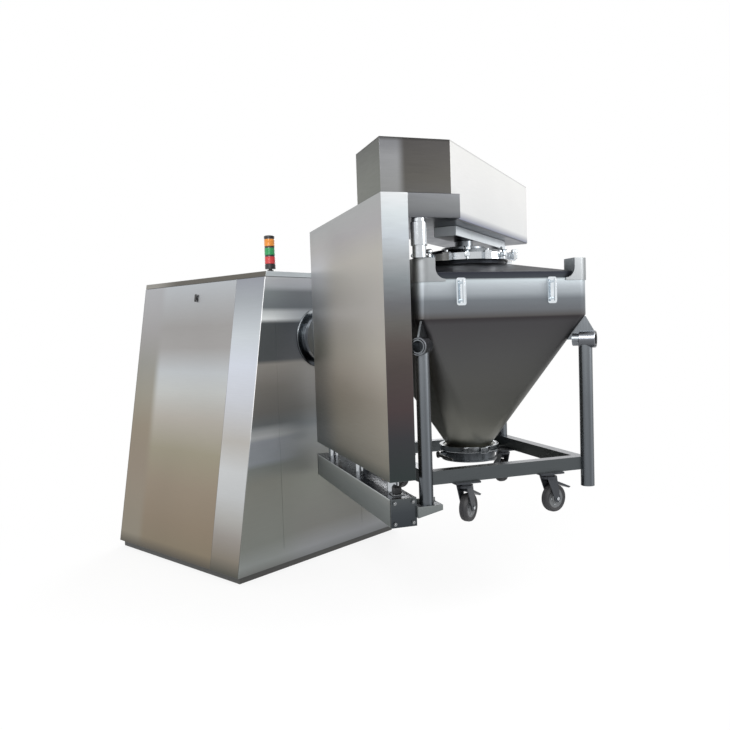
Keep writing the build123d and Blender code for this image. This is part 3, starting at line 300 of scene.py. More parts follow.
def mixColour(tree, factor, first, second, blend="MIX"):
    node = tree.nodes.new("ShaderNodeMix")
    node.data_type = "RGBA"
    node.blend_type = blend
    for value, slot in ((factor, 0), (first, 6), (second, 7)):  # the colour sockets are 6 and 7
        feed(tree, value, node.inputs[slot])
    return node.outputs[2]


def heightRamp(tree, coords, low, high, stops, gain):
    # colours from the foot to the top of a sheet; on most sheets these are painted reflection bands and painted
    # shade
    split = tree.nodes.new("ShaderNodeSeparateXYZ")
    tree.links.new(coords, split.inputs[0])
    return rampNode(tree, rangeNode(tree, split.outputs["Z"], low, high),
                    [(position, tint(*colour, gain)) for position, colour in stops])


def addRelief(tree, shader, height, strength, distance):
    relief = tree.nodes.new("ShaderNodeBump")
    relief.inputs["Strength"].default_value = strength
    relief.inputs["Distance"].default_value = distance
    tree.links.new(height, relief.inputs["Height"])
    tree.links.new(relief.outputs["Normal"], shader.inputs["Normal"])


def weather(tree, coords, colour, edge, film):
    # edges made lighter, as wear and as a painted edge highlight, and a thin film of dust on what faces up
    wornAndHighlit = placeGroup(tree, wearAndHighlightGroup, Width=edge["width"])
    share = mathNode(tree, "MULTIPLY", wornAndHighlit, edge["share"])
    colour = mixColour(tree, share, colour, edge["colour"])
    dust = placeGroup(tree, dustGroup, Vector=coords)
    return mixColour(tree, mathNode(tree, "MULTIPLY", dust, film["share"]), colour, film["colour"])


def sheetSteel(name, span, stops, beside=None, across=None, stretch=(3, 3, 90), rough=0.34,
               streak=0.025, cloud=0.03, bump=0.02, wearAndHighlight=0.12, gain=1.0, metal=1.0,
               sheen=None):
    # stainless sheet: tone by height and a second tone beside it (on most sheets painted reflections and shade),
    # level brushed lines, slow painted reflection changes, and painted sheen lines on pipes
    # the near white edge colour is wear and a painted edge highlight
    edge = {"width": 0.003, "share": wearAndHighlight, "colour": tint(225, 228, 230)}
    film = {"share": 0.08, "colour": tint(170, 168, 160)}
    brush = {"blotch": 1.6, "smoother": 0.03, "rougher": 0.05, "depth": 0.001}
    material, tree, shader, coords = startMaterial(name)
    colour = heightRamp(tree, coords, span[0], span[1], stops, gain)
    if beside:
        second = heightRamp(tree, coords, span[0], span[1], beside, gain)
        direction, start, end = across
        fade = placeGroup(tree, acrossGroup, Vector=coords, Direction=direction, Start=start,
                          End=end)
        colour = mixColour(tree, fade, colour, second)
    grain = placeGroup(tree, grainGroup, Vector=coords, Stretch=stretch)
    blotch = placeGroup(tree, cloudGroup, Vector=coords, Size=brush["blotch"])
    shade = mathNode(tree, "MULTIPLY", aroundOne(tree, grain, streak),
                     aroundOne(tree, blotch, cloud))
    colour = mixColour(tree, 1.0, colour, shade, "MULTIPLY")
    if sheen:
        lines = placeGroup(tree, sheenGroup, Direction=sheen)
        colour = mixColour(tree, 1.0, colour, lines, "MULTIPLY")
    colour = weather(tree, coords, colour, edge, film)
    tree.links.new(colour, shader.inputs["Base Color"])
    shader.inputs["Metallic"].default_value = metal
    matt = rangeNode(tree, grain, 0.3, 0.7, rough - brush["smoother"], rough + brush["rougher"])
    tree.links.new(matt, shader.inputs["Roughness"])
    addRelief(tree, shader, grain, bump, brush["depth"])
    return material


def plainFinish(name, colour, rough, metal=0.0, speckle=0.06, size=140.0, bump=0.06, coat=0.0):
    # paint, rubber or plastic: fine speckle, lighter edges as wear and painted edge highlight, and a little dust
    lighter = tuple(min(1.0, c * 2.0 + 0.03) for c in colour[:3]) + (1,)
    edge = {"width": 0.002, "share": 0.2, "colour": lighter}
    film = {"share": 0.12, "colour": tint(150, 148, 142)}
    grit = {"smoother": 0.05, "rougher": 0.08, "depth": 0.0006}
    material, tree, shader, coords = startMaterial(name)
    speck = noiseNode(tree, coords, size)
    shown = mixColour(tree, 1.0, colour, aroundOne(tree, speck, speckle), "MULTIPLY")
    shown = weather(tree, coords, shown, edge, film)
    tree.links.new(shown, shader.inputs["Base Color"])
    shader.inputs["Metallic"].default_value = metal
    shader.inputs["Coat Weight"].default_value = coat
    matt = rangeNode(tree, speck, 0.3, 0.7, rough - grit["smoother"], rough + grit["rougher"])
    tree.links.new(matt, shader.inputs["Roughness"])
    addRelief(tree, shader, speck, bump, grit["depth"])
    return material


def lampPlastic(name, colour, glow):
    # coloured lens of the signal tower
    lens = {"speckSize": 60.0, "speckle": 0.08, "rough": 0.2, "coat": 0.4}
    material, tree, shader, coords = startMaterial(name)
    speck = noiseNode(tree, coords, lens["speckSize"], 2.0)
    shown = mixColour(tree, 1.0, colour, aroundOne(tree, speck, lens["speckle"]), "MULTIPLY")
    tree.links.new(shown, shader.inputs["Base Color"])
    tree.links.new(shown, shader.inputs["Emission Color"])
    shader.inputs["Emission Strength"].default_value = glow
    shader.inputs["Roughness"].default_value = lens["rough"]
    shader.inputs["Coat Weight"].default_value = lens["coat"]
    return material


def spanOf(*names):
    # lowest and highest point of some CAD nodes
    boxes = [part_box(name) for name in names]
    return min(b[0].z for b in boxes), max(b[1].z for b in boxes)


cabinetSpan = spanOf("front_panel")
wallSpan = spanOf("wall_casing")
hoodSpan = spanOf("top_hood")
binSpan = spanOf("bin_shell")
frameSpan = spanOf("bin_frame")
beamSpan = spanOf("carriage_beam")
armSpan = spanOf("top_arm")
wallOrigin = binCentre.dot(alongWall)  # the bin's centre as the sheets' coordinates have it
sideOrigin = binCentre.dot(awayFromWall)

finish = {
    # painted reflections and shade: warmer and darker towards the foot, a light band above the middle, and a
    # second set of bands that blends in across the panel
    "sideCover": sheetSteel(
        "sideCover", cabinetSpan,
        [(0.0, (88, 84, 77)), (0.04, (132, 121, 103)), (0.12, (137, 124, 107)),
         (0.25, (145, 133, 117)), (0.38, (153, 147, 129)), (0.5, (176, 171, 163)),
         (0.6, (191, 193, 191)), (0.67, (189, 193, 196)), (0.76, (163, 161, 160)),
         (0.84, (160, 158, 157)), (1.0, (184, 188, 192))],
        [(0.0, (86, 82, 74)), (0.04, (138, 131, 117)), (0.3, (143, 132, 118)),
         (0.45, (146, 136, 120)), (0.58, (151, 147, 135)), (0.7, (151, 150, 144)),
         (0.82, (160, 158, 158)), (1.0, (174, 175, 178))],
        ((-1, 0, 0), 0.40, 0.50)),
    # painted reflections: light and dark bands by height
    "cornerStrip": sheetSteel(
        "cornerStrip", cabinetSpan,
        [(0.0, (80, 80, 74)), (0.05, (130, 123, 112)), (0.12, (149, 144, 139)),
         (0.18, (170, 169, 166)), (0.26, (190, 192, 193)), (0.34, (198, 200, 201)),
         (0.44, (184, 181, 176)), (0.58, (203, 206, 213)), (0.7, (210, 215, 225)),
         (0.8, (202, 208, 213)), (0.92, (168, 173, 178)), (1.0, (152, 155, 163))]),
    # painted highlight: a near white line on the folded corner edge
    "cornerLine": sheetSteel(
        "cornerLine", cabinetSpan,
        [(0.0, (60, 62, 58)), (0.28, (84, 86, 84)), (0.42, (150, 152, 150)),
         (0.55, (236, 240, 242)), (1.0, (250, 252, 252))], gain=1.2, wearAndHighlight=0.0, metal=0.2),
    # painted reflections: level light and dark bands of a mirrored room, with a bright band high up, in two sets
    # that blend across the face
    "mirrorFront": sheetSteel(
        "mirrorFront", cabinetSpan,
        [(0.0, (96, 98, 96)), (0.03, (116, 120, 118)), (0.09, (102, 105, 100)),
         (0.3, (107, 108, 101)), (0.35, (105, 109, 106)), (0.37, (128, 133, 138)),
         (0.44, (136, 140, 146)), (0.455, (166, 168, 170)), (0.475, (148, 151, 153)),
         (0.495, (100, 104, 106)), (0.54, (106, 105, 103)), (0.62, (120, 118, 114)),
         (0.7, (144, 141, 137)), (0.714, (80, 84, 87)), (0.842, (80, 84, 86)),
         (0.855, (236, 240, 241)), (0.88, (204, 209, 210)), (0.894, (118, 124, 128)),
         (0.95, (131, 138, 140)), (0.966, (172, 176, 180)), (1.0, (186, 188, 190))],
        [(0.0, (104, 106, 108)), (0.03, (121, 123, 125)), (0.1, (103, 103, 99)),
         (0.28, (112, 114, 107)), (0.37, (119, 121, 119)), (0.455, (130, 134, 136)),
         (0.48, (112, 117, 120)), (0.54, (112, 112, 110)), (0.7, (151, 149, 146)),
         (0.714, (99, 101, 105)), (0.84, (70, 74, 80)), (0.857, (176, 180, 184)),
         (0.88, (166, 170, 175)), (0.894, (104, 109, 114)), (0.95, (112, 116, 120)),
         (0.966, (164, 167, 172)), (1.0, (176, 178, 182))],
        ((0, 1, 0), -0.5, -0.1), rough=0.4, wearAndHighlight=0.0, cloud=0.05, metal=0.2, gain=1.12),
    "roofSide": sheetSteel("roofSide", cabinetSpan, [(0.0, (100, 98, 92)), (1.0, (104, 101, 95))],
                           beside=[(0.0, (150, 148, 142)), (1.0, (150, 148, 142))],
                           across=((-1, 0, 0), 0.25, 0.6)),
    "roofFront": sheetSteel("roofFront", cabinetSpan, [
        (0.0, (196, 203, 206)), (1.0, (200, 207, 210))], metal=0.2),
    "roofTop": sheetSteel("roofTop", cabinetSpan, [(0.0, (128, 130, 131)), (1.0, (136, 138, 139))],
                          stretch=(3, 90, 3), rough=0.5, gain=0.8, metal=0.35),
    # painted reflections and shade: dark at the foot, bands by height, and a second set that blends in along the
    # wall
    "wallSteel": sheetSteel(
        "wallSteel", wallSpan,
        [(0.0, (62, 64, 60)), (0.05, (112, 108, 98)), (0.12, (124, 119, 108)),
         (0.27, (131, 124, 113)), (0.36, (147, 140, 130)), (0.45, (159, 154, 144)),
         (0.6, (158, 154, 149)), (0.8, (157, 154, 147)), (0.9, (141, 139, 141)),
         (1.0, (138, 140, 140))],
        [(0.0, (74, 78, 78)), (0.03, (90, 92, 92)), (0.18, (97, 96, 92)),
         (0.3, (112, 108, 102)), (0.47, (110, 109, 102)), (0.56, (120, 120, 119)),
         (0.65, (133, 135, 137)), (0.73, (158, 160, 162)), (0.82, (170, 171, 175)),
         (0.9, (155, 153, 152)), (1.0, (138, 141, 142))],
        (-alongWall, 0.3 - wallOrigin, 0.8 - wallOrigin), metal=0.3, gain=0.98),
    # painted reflection: dark at the foot, brightening to near white at the top
    "wallEndSteel": sheetSteel(
        "wallEndSteel", wallSpan,
        [(0.0, (59, 66, 66)), (0.15, (66, 66, 69)), (0.25, (79, 69, 70)),
         (0.4, (83, 76, 74)), (0.48, (95, 88, 85)), (0.55, (106, 104, 101)),
         (0.62, (112, 113, 116)), (0.7, (138, 144, 147)), (0.77, (167, 171, 174)),
         (0.85, (196, 203, 209)), (0.93, (213, 220, 223)), (1.0, (228, 230, 232))], gain=0.87),
    # painted reflection and shade: a lighter set blends into a darker one across the face, darker along the top
    # edge
    "hoodNear": sheetSteel(
        "hoodNear", hoodSpan,
        [(0.0, (104, 104, 104)), (0.5, (96, 94, 90)), (0.96, (88, 86, 85)), (1.0, (64, 63, 62))],
        [(0.0, (134, 134, 135)), (0.4, (149, 150, 150)), (0.75, (153, 154, 156)),
         (0.95, (134, 135, 138)), (1.0, (72, 71, 70))],
        (-awayFromWall, 0.55 - sideOrigin, 0.6 - sideOrigin), wearAndHighlight=0.0, gain=0.82),
    "hoodBack": sheetSteel("hoodBack", hoodSpan, [
        (0.0, (115, 118, 110)), (0.6, (109, 112, 104)), (0.96, (87, 90, 84)), (1.0, (60, 60, 58))],
        wearAndHighlight=0.0, gain=0.76),
    # painted highlight: the hood's slanted side is near white
    "hoodSide": sheetSteel("hoodSide", hoodSpan, [
        (0.0, (110, 115, 140)), (0.05, (170, 173, 180)), (0.12, (226, 227, 227)),
        (0.6, (232, 232, 231)), (0.97, (236, 236, 234)), (1.0, (190, 190, 188))], wearAndHighlight=0.0,
        metal=0.5, gain=0.88),
    # painted shade for the undersides of the hood and wall
    "hoodUnder": sheetSteel("hoodUnder", hoodSpan, [(0.0, (70, 75, 90)), (1.0, (92, 94, 98))]),
    "armNear": sheetSteel("armNear", armSpan, [
        (0.0, (104, 106, 110)), (0.3, (126, 128, 130)), (0.7, (136, 138, 140)),
        (1.0, (142, 144, 148))], gain=0.75),
    # painted shade for the undersides of the arm and press beam
    "armUnder": sheetSteel("armUnder", armSpan, [(0.0, (72, 78, 90)), (1.0, (110, 114, 126))]),
    # painted reflections and shade: the band lightens towards its top, a dark painted shadow line runs under it,
    # and it is dark above the band
    "binSteel": sheetSteel(
        "binSteel", binSpan,
        [(0.0, (112, 113, 107)), (0.06, (116, 116, 110)), (0.14, (106, 106, 100)),
         (0.3, (92, 92, 89)), (0.5, (84, 84, 84)), (0.66, (76, 75, 77)),
         (0.683, (62, 59, 61)), (0.692, (96, 94, 94)), (0.72, (112, 115, 119)),
         (0.77, (116, 121, 126)), (0.8, (152, 158, 163)), (0.84, (166, 172, 177)),
         (0.864, (172, 180, 184)), (0.874, (60, 64, 68)), (0.9, (46, 48, 55)),
         (1.0, (56, 59, 63))], stretch=(3, 3, 50), rough=0.45, streak=0.015),
    "earSteel": sheetSteel("earSteel", binSpan, [(0.0, (150, 155, 160)), (0.83, (186, 190, 193)),
                                                 (1.0, (202, 206, 208))], rough=0.4,
                            stretch=(8, 8, 8), streak=0.02, bump=0.0, gain=0.54),
    # painted highlight and shade: sheen lines down the pipes
    "pipeSteel": sheetSteel("pipeSteel", frameSpan, [
        (0.0, (84, 88, 92)), (0.5, (92, 96, 100)), (1.0, (112, 116, 120))],
        stretch=(60, 60, 3), rough=0.28, sheen=(0.45, -0.89, 0.0), gain=1.15),
    "beamSteel": sheetSteel("beamSteel", beamSpan, [
        (0.0, (58, 62, 66)), (0.5, (66, 70, 74)), (1.0, (82, 86, 88))], rough=0.3),
    # painted highlight: a bright line along the beam's top edge
    "carriageSteel": sheetSteel("carriageSteel", beamSpan, [
        (0.0, (72, 76, 76)), (0.6, (84, 88, 88)), (0.92, (98, 101, 100)), (1.0, (150, 154, 155))],
        metal=0.3, gain=1.45),
    # painted highlight and shade: sheen lines on the pipe sleeves and top faces
    "sleeveSteel": sheetSteel("sleeveSteel", frameSpan, [
        (0.0, (104, 107, 112)), (1.0, (118, 121, 126))], stretch=(8, 8, 8), rough=0.24,
        sheen=(0.3, -0.5, 0.81)),
    "paleSteel": sheetSteel("paleSteel", (0.0, 2.5), [
        (0.0, (196, 204, 212)), (1.0, (222, 229, 234))], stretch=(8, 8, 8), rough=0.2, metal=0.3),
    "screwSteel": sheetSteel("screwSteel", (0.0, 2.5), [
        (0.0, (120, 122, 124)), (1.0, (150, 152, 154))], stretch=(20, 20, 20), rough=0.25),
    "brightSteel": sheetSteel("brightSteel", (0.0, 2.5), [
        (0.0, (176, 180, 184)), (1.0, (200, 204, 208))], stretch=(20, 20, 20), rough=0.16),
    "polishedSteel": sheetSteel("polishedSteel", (0.0, 2.5), [
        (0.0, (214, 220, 226)), (1.0, (226, 232, 236))], stretch=(10, 10, 10), rough=0.1),
    # painted highlight and shade: dark low on the hub and seal ring, bright towards the top
    "drumSteel": sheetSteel("drumSteel", (1.3, 1.8), [
        (0.0, (60, 62, 66)), (0.45, (84, 88, 92)), (0.7, (150, 155, 160)), (1.0, (190, 195, 198))],
        rough=0.2),
    "framePaint": plainFinish("framePaint", tint(58, 58, 56), 0.45),
    "machinePaint": plainFinish("machinePaint", tint(92, 110, 124), 0.38, coat=0.3),
    "bearingIron": plainFinish("bearingIron", tint(70, 72, 74), 0.55, metal=0.6, speckle=0.12),
    "bushBronze": plainFinish("bushBronze", tint(120, 92, 52), 0.35, metal=1.0),
    "sealRubber": plainFinish("sealRubber", tint(40, 41, 43), 0.6),
    "casterPaint": plainFinish("casterPaint", tint(52, 55, 60), 0.35, metal=0.5),
    "wheelHub": plainFinish("wheelHub", tint(96, 98, 100), 0.4, metal=0.3),
    "tyreRubber": plainFinish("tyreRubber", tint(34, 34, 37), 0.6, size=260.0, bump=0.15),
    "greyPlastic": plainFinish("greyPlastic", tint(176, 178, 178), 0.42),
    "blackPlastic": plainFinish("blackPlastic", tint(30, 29, 30), 0.35, coat=0.3),
    "redLens": lampPlastic("redLens", tint(186, 48, 50), 0.12),
    "greenLens": lampPlastic("greenLens", tint(24, 132, 74), 0.16),
    "amberLens": lampPlastic("amberLens", tint(206, 128, 40), 0.16),
    "buttonRed": plainFinish("buttonRed", tint(190, 30, 26), 0.3, coat=0.5),
}
print("materials built:", len(finish))


# shapes that several pieces use

def camelName(start, words, end=""):
    return start + "".join(word.capitalize() for word in words) + end


def cleanCopy(node):
    # a CAD node's mesh with its loose triangles joined to whole faces
    bm = bmesh.new()
    bm.from_mesh(nodes[node].data)
    bmesh.ops.remove_doubles(bm, verts=bm.verts, dist=mergeDistance)
    bmesh.ops.dissolve_limit(bm, angle_limit=flatAngle, verts=bm.verts, edges=bm.edges)
    return bm


def finishPiece(name, bm, body, materials, place=None, sharp=35):
    if place is not None:
        bm.transform(place)
    mesh = bpy.data.meshes.new(name)
    bm.to_mesh(mesh)
    bm.free()
    if "custom_normal" in mesh.attributes:
        mesh.attributes.remove(mesh.attributes["custom_normal"])  # left over from the CAD mesh
    for polygon in mesh.polygons:
        polygon.use_smooth = True
    mesh.set_sharp_from_angle(angle=math.radians(sharp))
    for material in materials:
        mesh.materials.append(finish[material])
    piece = bpy.data.objects.new(name, mesh)
    bpy.context.scene.collection.objects.link(piece)
    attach(piece, body)
    return piece


def roundEdges(piece, width):
    bevel = piece.modifiers.new("roundedEdges", "BEVEL")
    bevel.width = width
    bevel.segments = 2
    bevel.limit_method = "ANGLE"
    bevel.angle_limit = math.radians(35)


def flattenSides(piece):
    # large sides stay flat beside their rounded edges
    even = piece.modifiers.new("flatSides", "WEIGHTED_NORMAL")
    even.keep_sharp = True
    even.weight = 80


def turnedShape(profile, steps=48):
    # an outline of (radius, height) pairs, spun right round Z
    bm = bmesh.new()
    rim = [bm.verts.new((radius, 0, height)) for radius, height in profile]
    pairs = list(zip(rim, rim[1:]))
    if profile[0][0] > 0:
        pairs.append((rim[-1], rim[0]))
    edges = [bm.edges.new(pair) for pair in pairs]
    bmesh.ops.spin(bm, geom=rim + edges, cent=(0, 0, 0), axis=(0, 0, 1), angle=math.tau,
                   steps=steps, use_merge=True)
    bmesh.ops.remove_doubles(bm, verts=bm.verts, dist=mergeDistance)
    bmesh.ops.recalc_face_normals(bm, faces=bm.faces)
    return bm


def addShape(target, source, place, slot=0):
    # a copy of a small shape joined to a larger one, in one of its materials
    mesh = bpy.data.meshes.new("shape")
    source.to_mesh(mesh)
    mesh.transform(place)
    for polygon in mesh.polygons:
        polygon.material_index += slot
    target.from_mesh(mesh)
    bpy.data.meshes.remove(mesh)


def standAt(spot, axis):
    # axes with Z along a direction, standing on a spot
    turn = Vector(axis).normalized().to_track_quat("Z", "Y").to_matrix().to_4x4()
    return Matrix.Translation(spot) @ turn


def capScrew(radius, height):
    # round head on a flat washer, with a hexagon for the key
    bm = turnedShape([
        (0.0, 0.0), (radius * 1.35, 0.0), (radius * 1.35, height * 0.18), (radius, height * 0.18),
        (radius, height * 0.86), (radius * 0.86, height), (0.0, height)], 24)
    bmesh.ops.create_circle(bm, cap_ends=True, segments=6, radius=radius * 0.5,
                            matrix=Matrix.Translation((0, 0, height * 1.01)))
    return bm


def hexNut(radius, height):
    bm = bmesh.new()
    bmesh.ops.create_cone(bm, cap_ends=True, segments=6, radius1=radius, radius2=radius,
                          depth=height, matrix=Matrix.Translation((0, 0, height / 2)))
    bmesh.ops.bevel(bm, geom=[e for e in bm.edges if e.is_manifold], offset=radius * 0.08,
                    segments=2, profile=0.5, affect="EDGES", material=-1)
    return bm


def block(low, high, edge):
    # a plate or block between two corners, its edges broken
    low, high = Vector(low), Vector(high)
    size = high - low
    bm = bmesh.new()
    bmesh.ops.create_cube(bm, size=1, matrix=Matrix.Translation((low + high) / 2)
                          @ Matrix.Diagonal((size.x, size.y, size.z, 1)))
    bmesh.ops.bevel(bm, geom=list(bm.edges), offset=edge, segments=2, profile=0.5,
                    affect="EDGES", material=-1)
    return bm


# dressed copies of the CAD solids, with a finish for each of their sides; lighter and darker finishes on some
# sides, by the way they face, are painted light and shade

def dressNode(node, material, edge, sides=(), place=rowPlace):
    bm = cleanCopy(node)
    bm.normal_update()
    inverse = place.inverted()
    turn = inverse.to_3x3()
    for face in bm.faces:
        spot, normal = inverse @ face.calc_center_median(), turn @ face.normal
        for slot, (side, test) in enumerate(sides, start=1):
            if test(spot, normal):
                face.material_index = slot
    first, *others = node.split("_")
    piece = finishPiece(camelName(first, others, "Dressed"), bm, bodyOf[node],
                        [material] + [side for side, test in sides])
    if edge:
        roundEdges(piece, edge)
    flattenSides(piece)
    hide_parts(node)


# tests that pick the faces of one side, from a face's middle and its normal

def upward(spot, normal):
    return normal.z > 0.7


def downward(spot, normal):
    return normal.z < -0.7


def nearward(spot, normal):
    return normal.x > 0.9


def upright(spot, normal):
    return abs(normal.z) < 0.3


def onBaseBeam(spot, normal):
    # the upright sides of the bin's base beams, but not its corner pipes
    beam = {"top": -0.68, "foot": -0.76, "half": 0.482}
    return (abs(normal.z) < 0.2 and beam["foot"] < spot.z < beam["top"]
            and max(abs(spot.x), abs(spot.y)) < beam["half"])


dressed = {
    "access_panel": ("sideCover", 0.0015), "far_side_panel": ("sideCover", 0.0),
    "rear_panel": ("sideCover", 0.0), "front_panel": ("mirrorFront", 0.0),
    "wall_end_cover": ("wallEndSteel", 0.0), "hub": ("drumSteel", 0.006),
    "bin_shell": ("binSteel", 0.0), "corner_ears": ("earSteel", 0.0015),
    "corner_clamps": ("brightSteel", 0.002), "lid_clamp_ring": ("brightSteel", 0.0015),
    "charging_lid": ("pipeSteel", 0.002), "valve_body": ("pipeSteel", 0.0015),
    "outlet_clamp": ("brightSteel", 0.0015), "grab_handles": ("polishedSteel", 0.001),
    "panel_lock": ("blackPlastic", 0.001), "seal_ring": ("drumSteel", 0.002),
    "press_pad": ("pipeSteel", 0.002), "valve_lever": ("blackPlastic", 0.002),
}
for node, (material, edge) in dressed.items():
    dressNode(node, material, edge)

# painted light and shade: tops, undersides and the sides of these sheets get lighter or darker finishes by the way
# they face
dressNode("roof_panel", "roofTop", 0.003, [
    ("roofSide", lambda spot, normal: abs(normal.y) > 0.7),
    ("roofFront", lambda spot, normal: normal.x > 0.7)])
dressNode("wall_casing", "wallSteel", 0.0, [
    ("roofTop", upward), ("hoodUnder", downward)], rotorPlace)
dressNode("top_hood", "hoodBack", 0.001, [
    ("roofTop", upward), ("hoodNear", nearward), ("hoodUnder", downward),
    ("hoodSide", lambda spot, normal: normal.x + normal.y > 1.2)], rotorPlace)
dressNode("top_arm", "armNear", 0.002, [("armUnder", downward)], rotorPlace)
dressNode("press_beam", "pipeSteel", 0.003, [
    ("paleSteel", upright), ("armUnder", downward)], rotorPlace)
dressNode("bin_frame", "pipeSteel", 0.0, [
    ("beamSteel", onBaseBeam),
    ("sleeveSteel", lambda spot, normal: normal.z > 0.9 and spot.z < -0.6)], rotorPlace)
dressNode("carriage_beam", "carriageSteel", 0.003, [("sleeveSteel", upward)], rotorPlace)
dressNode("beam_end_plates", "beamSteel", 0.002)
dressNode("foot_brackets", "carriageSteel", 0.002, [
    ("earSteel", upward), ("beamSteel", downward)], rotorPlace)


def dressCornerCover():
    # painted highlight: the folded corner's long rounded edge gets a near white finish of its own, where it
    # catches the light
    look = {"round": 0.0045, "depth": 0.012, "shortest": 1.0}
    bm = cleanCopy("corner_cover")
    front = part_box("corner_cover")[1].x
    folded = [
        edge for edge in bm.edges
        if edge.calc_length() > look["shortest"]
        and all(v.co.x > front - look["depth"] for v in edge.verts)
    ]
    rounded = bmesh.ops.bevel(bm, geom=folded, offset=look["round"], segments=3, profile=0.5,
                              affect="EDGES", material=-1)
    for face in rounded["faces"]:
        face.material_index = 1
    piece = finishPiece("cornerCoverDressed", bm, bodyOf["corner_cover"],
                        ["cornerStrip", "cornerLine"])
    flattenSides(piece)
    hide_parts("corner_cover")


dressCornerCover()

painted = {
    "cabinet_frame": "framePaint", "operator_panel": "greyPlastic",
    "emergency_stop": "buttonRed", "signal_housing": "blackPlastic",
    "main_shaft": "brightSteel", "shaft_bearings": "bearingIron", "gearbox": "machinePaint",
    "drive_motor": "machinePaint", "hydraulic_unit": "machinePaint", "control_box": "greyPlastic",
    "wall_frame": "framePaint", "guide_bushes": "bushBronze", "lift_cylinder": "machinePaint",
    "lift_rods": "brightSteel", "lid_gasket": "sealRubber", "valve_disc": "brightSteel",
    "caster_plates": "casterPaint",
}
for node, material in painted.items():
    nodes[node].data.materials.clear()
    nodes[node].data.materials.append(finish[material])
print("CAD nodes dressed and painted")


# signal tower: ribbed lenses between dark rings

def buildLens(node, material):
    look = {"ribs": 5, "ribDepth": 0.0016, "collar": 0.006, "collarDepth": 0.002, "bore": 0.75,
            "steps": 40}
    low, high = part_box(node)
    radius, height = (high.x - low.x) / 2, high.z - low.z
    collar, bore = look["collar"], radius * look["bore"]
    neck, groove = radius - look["collarDepth"], radius - look["ribDepth"]
    profile = [(bore, 0.0), (neck, 0.0), (neck, collar)]
    ribHeight = (height - 2 * collar) / look["ribs"]
    for rib in range(look["ribs"]):
        foot = collar + rib * ribHeight
        profile += [(across, foot + ribHeight * share) for across, share in (
            (groove, 0.1), (radius, 0.3), (radius, 0.7), (groove, 0.9))]
    profile += [(neck, height - collar), (neck, height), (bore, height)]
    bm = turnedShape(profile, look["steps"])
    for face in bm.faces:
        middle = face.calc_center_median().z
        if min(middle, height - middle) < collar * 0.9:
            face.material_index = 1
    spot = ((low.x + high.x) / 2, (low.y + high.y) / 2, low.z)
    piece = finishPiece(node.split("_")[0] + "LensRibbed", bm, bodyOf[node],
                        [material, "blackPlastic"], Matrix.Translation(spot), sharp=50)
    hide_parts(node)


for node, material in (("red_lens", "redLens"), ("green_lens", "greenLens"),
                       ("amber_lens", "amberLens")):
    buildLens(node, material)
print("signal tower built")


# bin: open ends of the corner pipes, and the lid's clamps

def buildSleeves():
    # larger sleeves over the ends of the four corner pipes
    look = {"outer": 0.0465, "inner": 0.0395, "length": 0.085, "lip": 0.0025, "height": -0.045,
            "pipe": 0.035}
    end = boxIn(rotorPlace, "bin_frame")[1].x
    reach = (end - look["pipe"] * math.sqrt(0.5)) * math.sqrt(2)  # to the pipe's end, slantwise
    outer, inner, lip, length = look["outer"], look["inner"], look["lip"], look["length"]
    sleeve = turnedShape([
        (inner, 0.0), (outer - lip, 0.0), (outer, lip), (outer, length - lip),
        (outer - lip, length), (inner, length)], 40)
    bm = bmesh.new()
    for side in (-1, 1):
        for along in (-1, 1):
            axis = Vector((along, side, 0)).normalized()
            spot = axis * (reach - length) + Vector((0, 0, look["height"]))
            addShape(bm, sleeve, standAt(spot, axis))
    sleeve.free()
    finishPiece("pipeSleeves", bm, bodyOf["bin_frame"], ["sleeveSteel"], rotorPlace)


def buildLidClamps():
    # swing bolts with round knobs, on lugs round the clamp ring
    look = {"count": 8, "bolt": 0.007, "reach": 0.05, "knob": 0.019, "lug": 0.014,
            "lugHeight": 0.012, "inset": 0.012, "first": 22.5}
    low, high = boxIn(rotorPlace, "lid_clamp_ring")
    radius = (high.x - low.x) / 2 - look["inset"]
    bm = bmesh.new()
    stem, knob, reach, side = look["bolt"], look["knob"], look["reach"], look["lug"]
    bolt = turnedShape([
        (0.0, -reach * 0.5), (stem, -reach * 0.5), (stem, reach * 0.35), (knob * 0.7, reach * 0.4),
        (knob, reach * 0.5), (knob, reach * 0.72), (knob * 0.75, reach * 0.85),
        (0.0, reach * 0.88)], 20)
    lug = block((-side, -side, -look["lugHeight"]), (side, side, look["lugHeight"]), 0.003)
    middle = (low.z + high.z) / 2
    for turn in range(look["count"]):
        angle = math.radians(look["first"] + turn * 360 / look["count"])
        spot = Vector((math.cos(angle), math.sin(angle), 0)) * radius
        spot.z = middle
        place = Matrix.Translation(spot) @ Matrix.Rotation(angle, 4, "Z")
        addShape(bm, lug, place)
        addShape(bm, bolt, place)
    bolt.free()
    lug.free()
    finishPiece("lidClamps", bm, bodyOf["lid_clamp_ring"], ["polishedSteel"], rotorPlace)


buildSleeves()
buildLidClamps()
print("bin trim built")


# lifting carriage: screws of the end plates, and a rubber stop on the beam

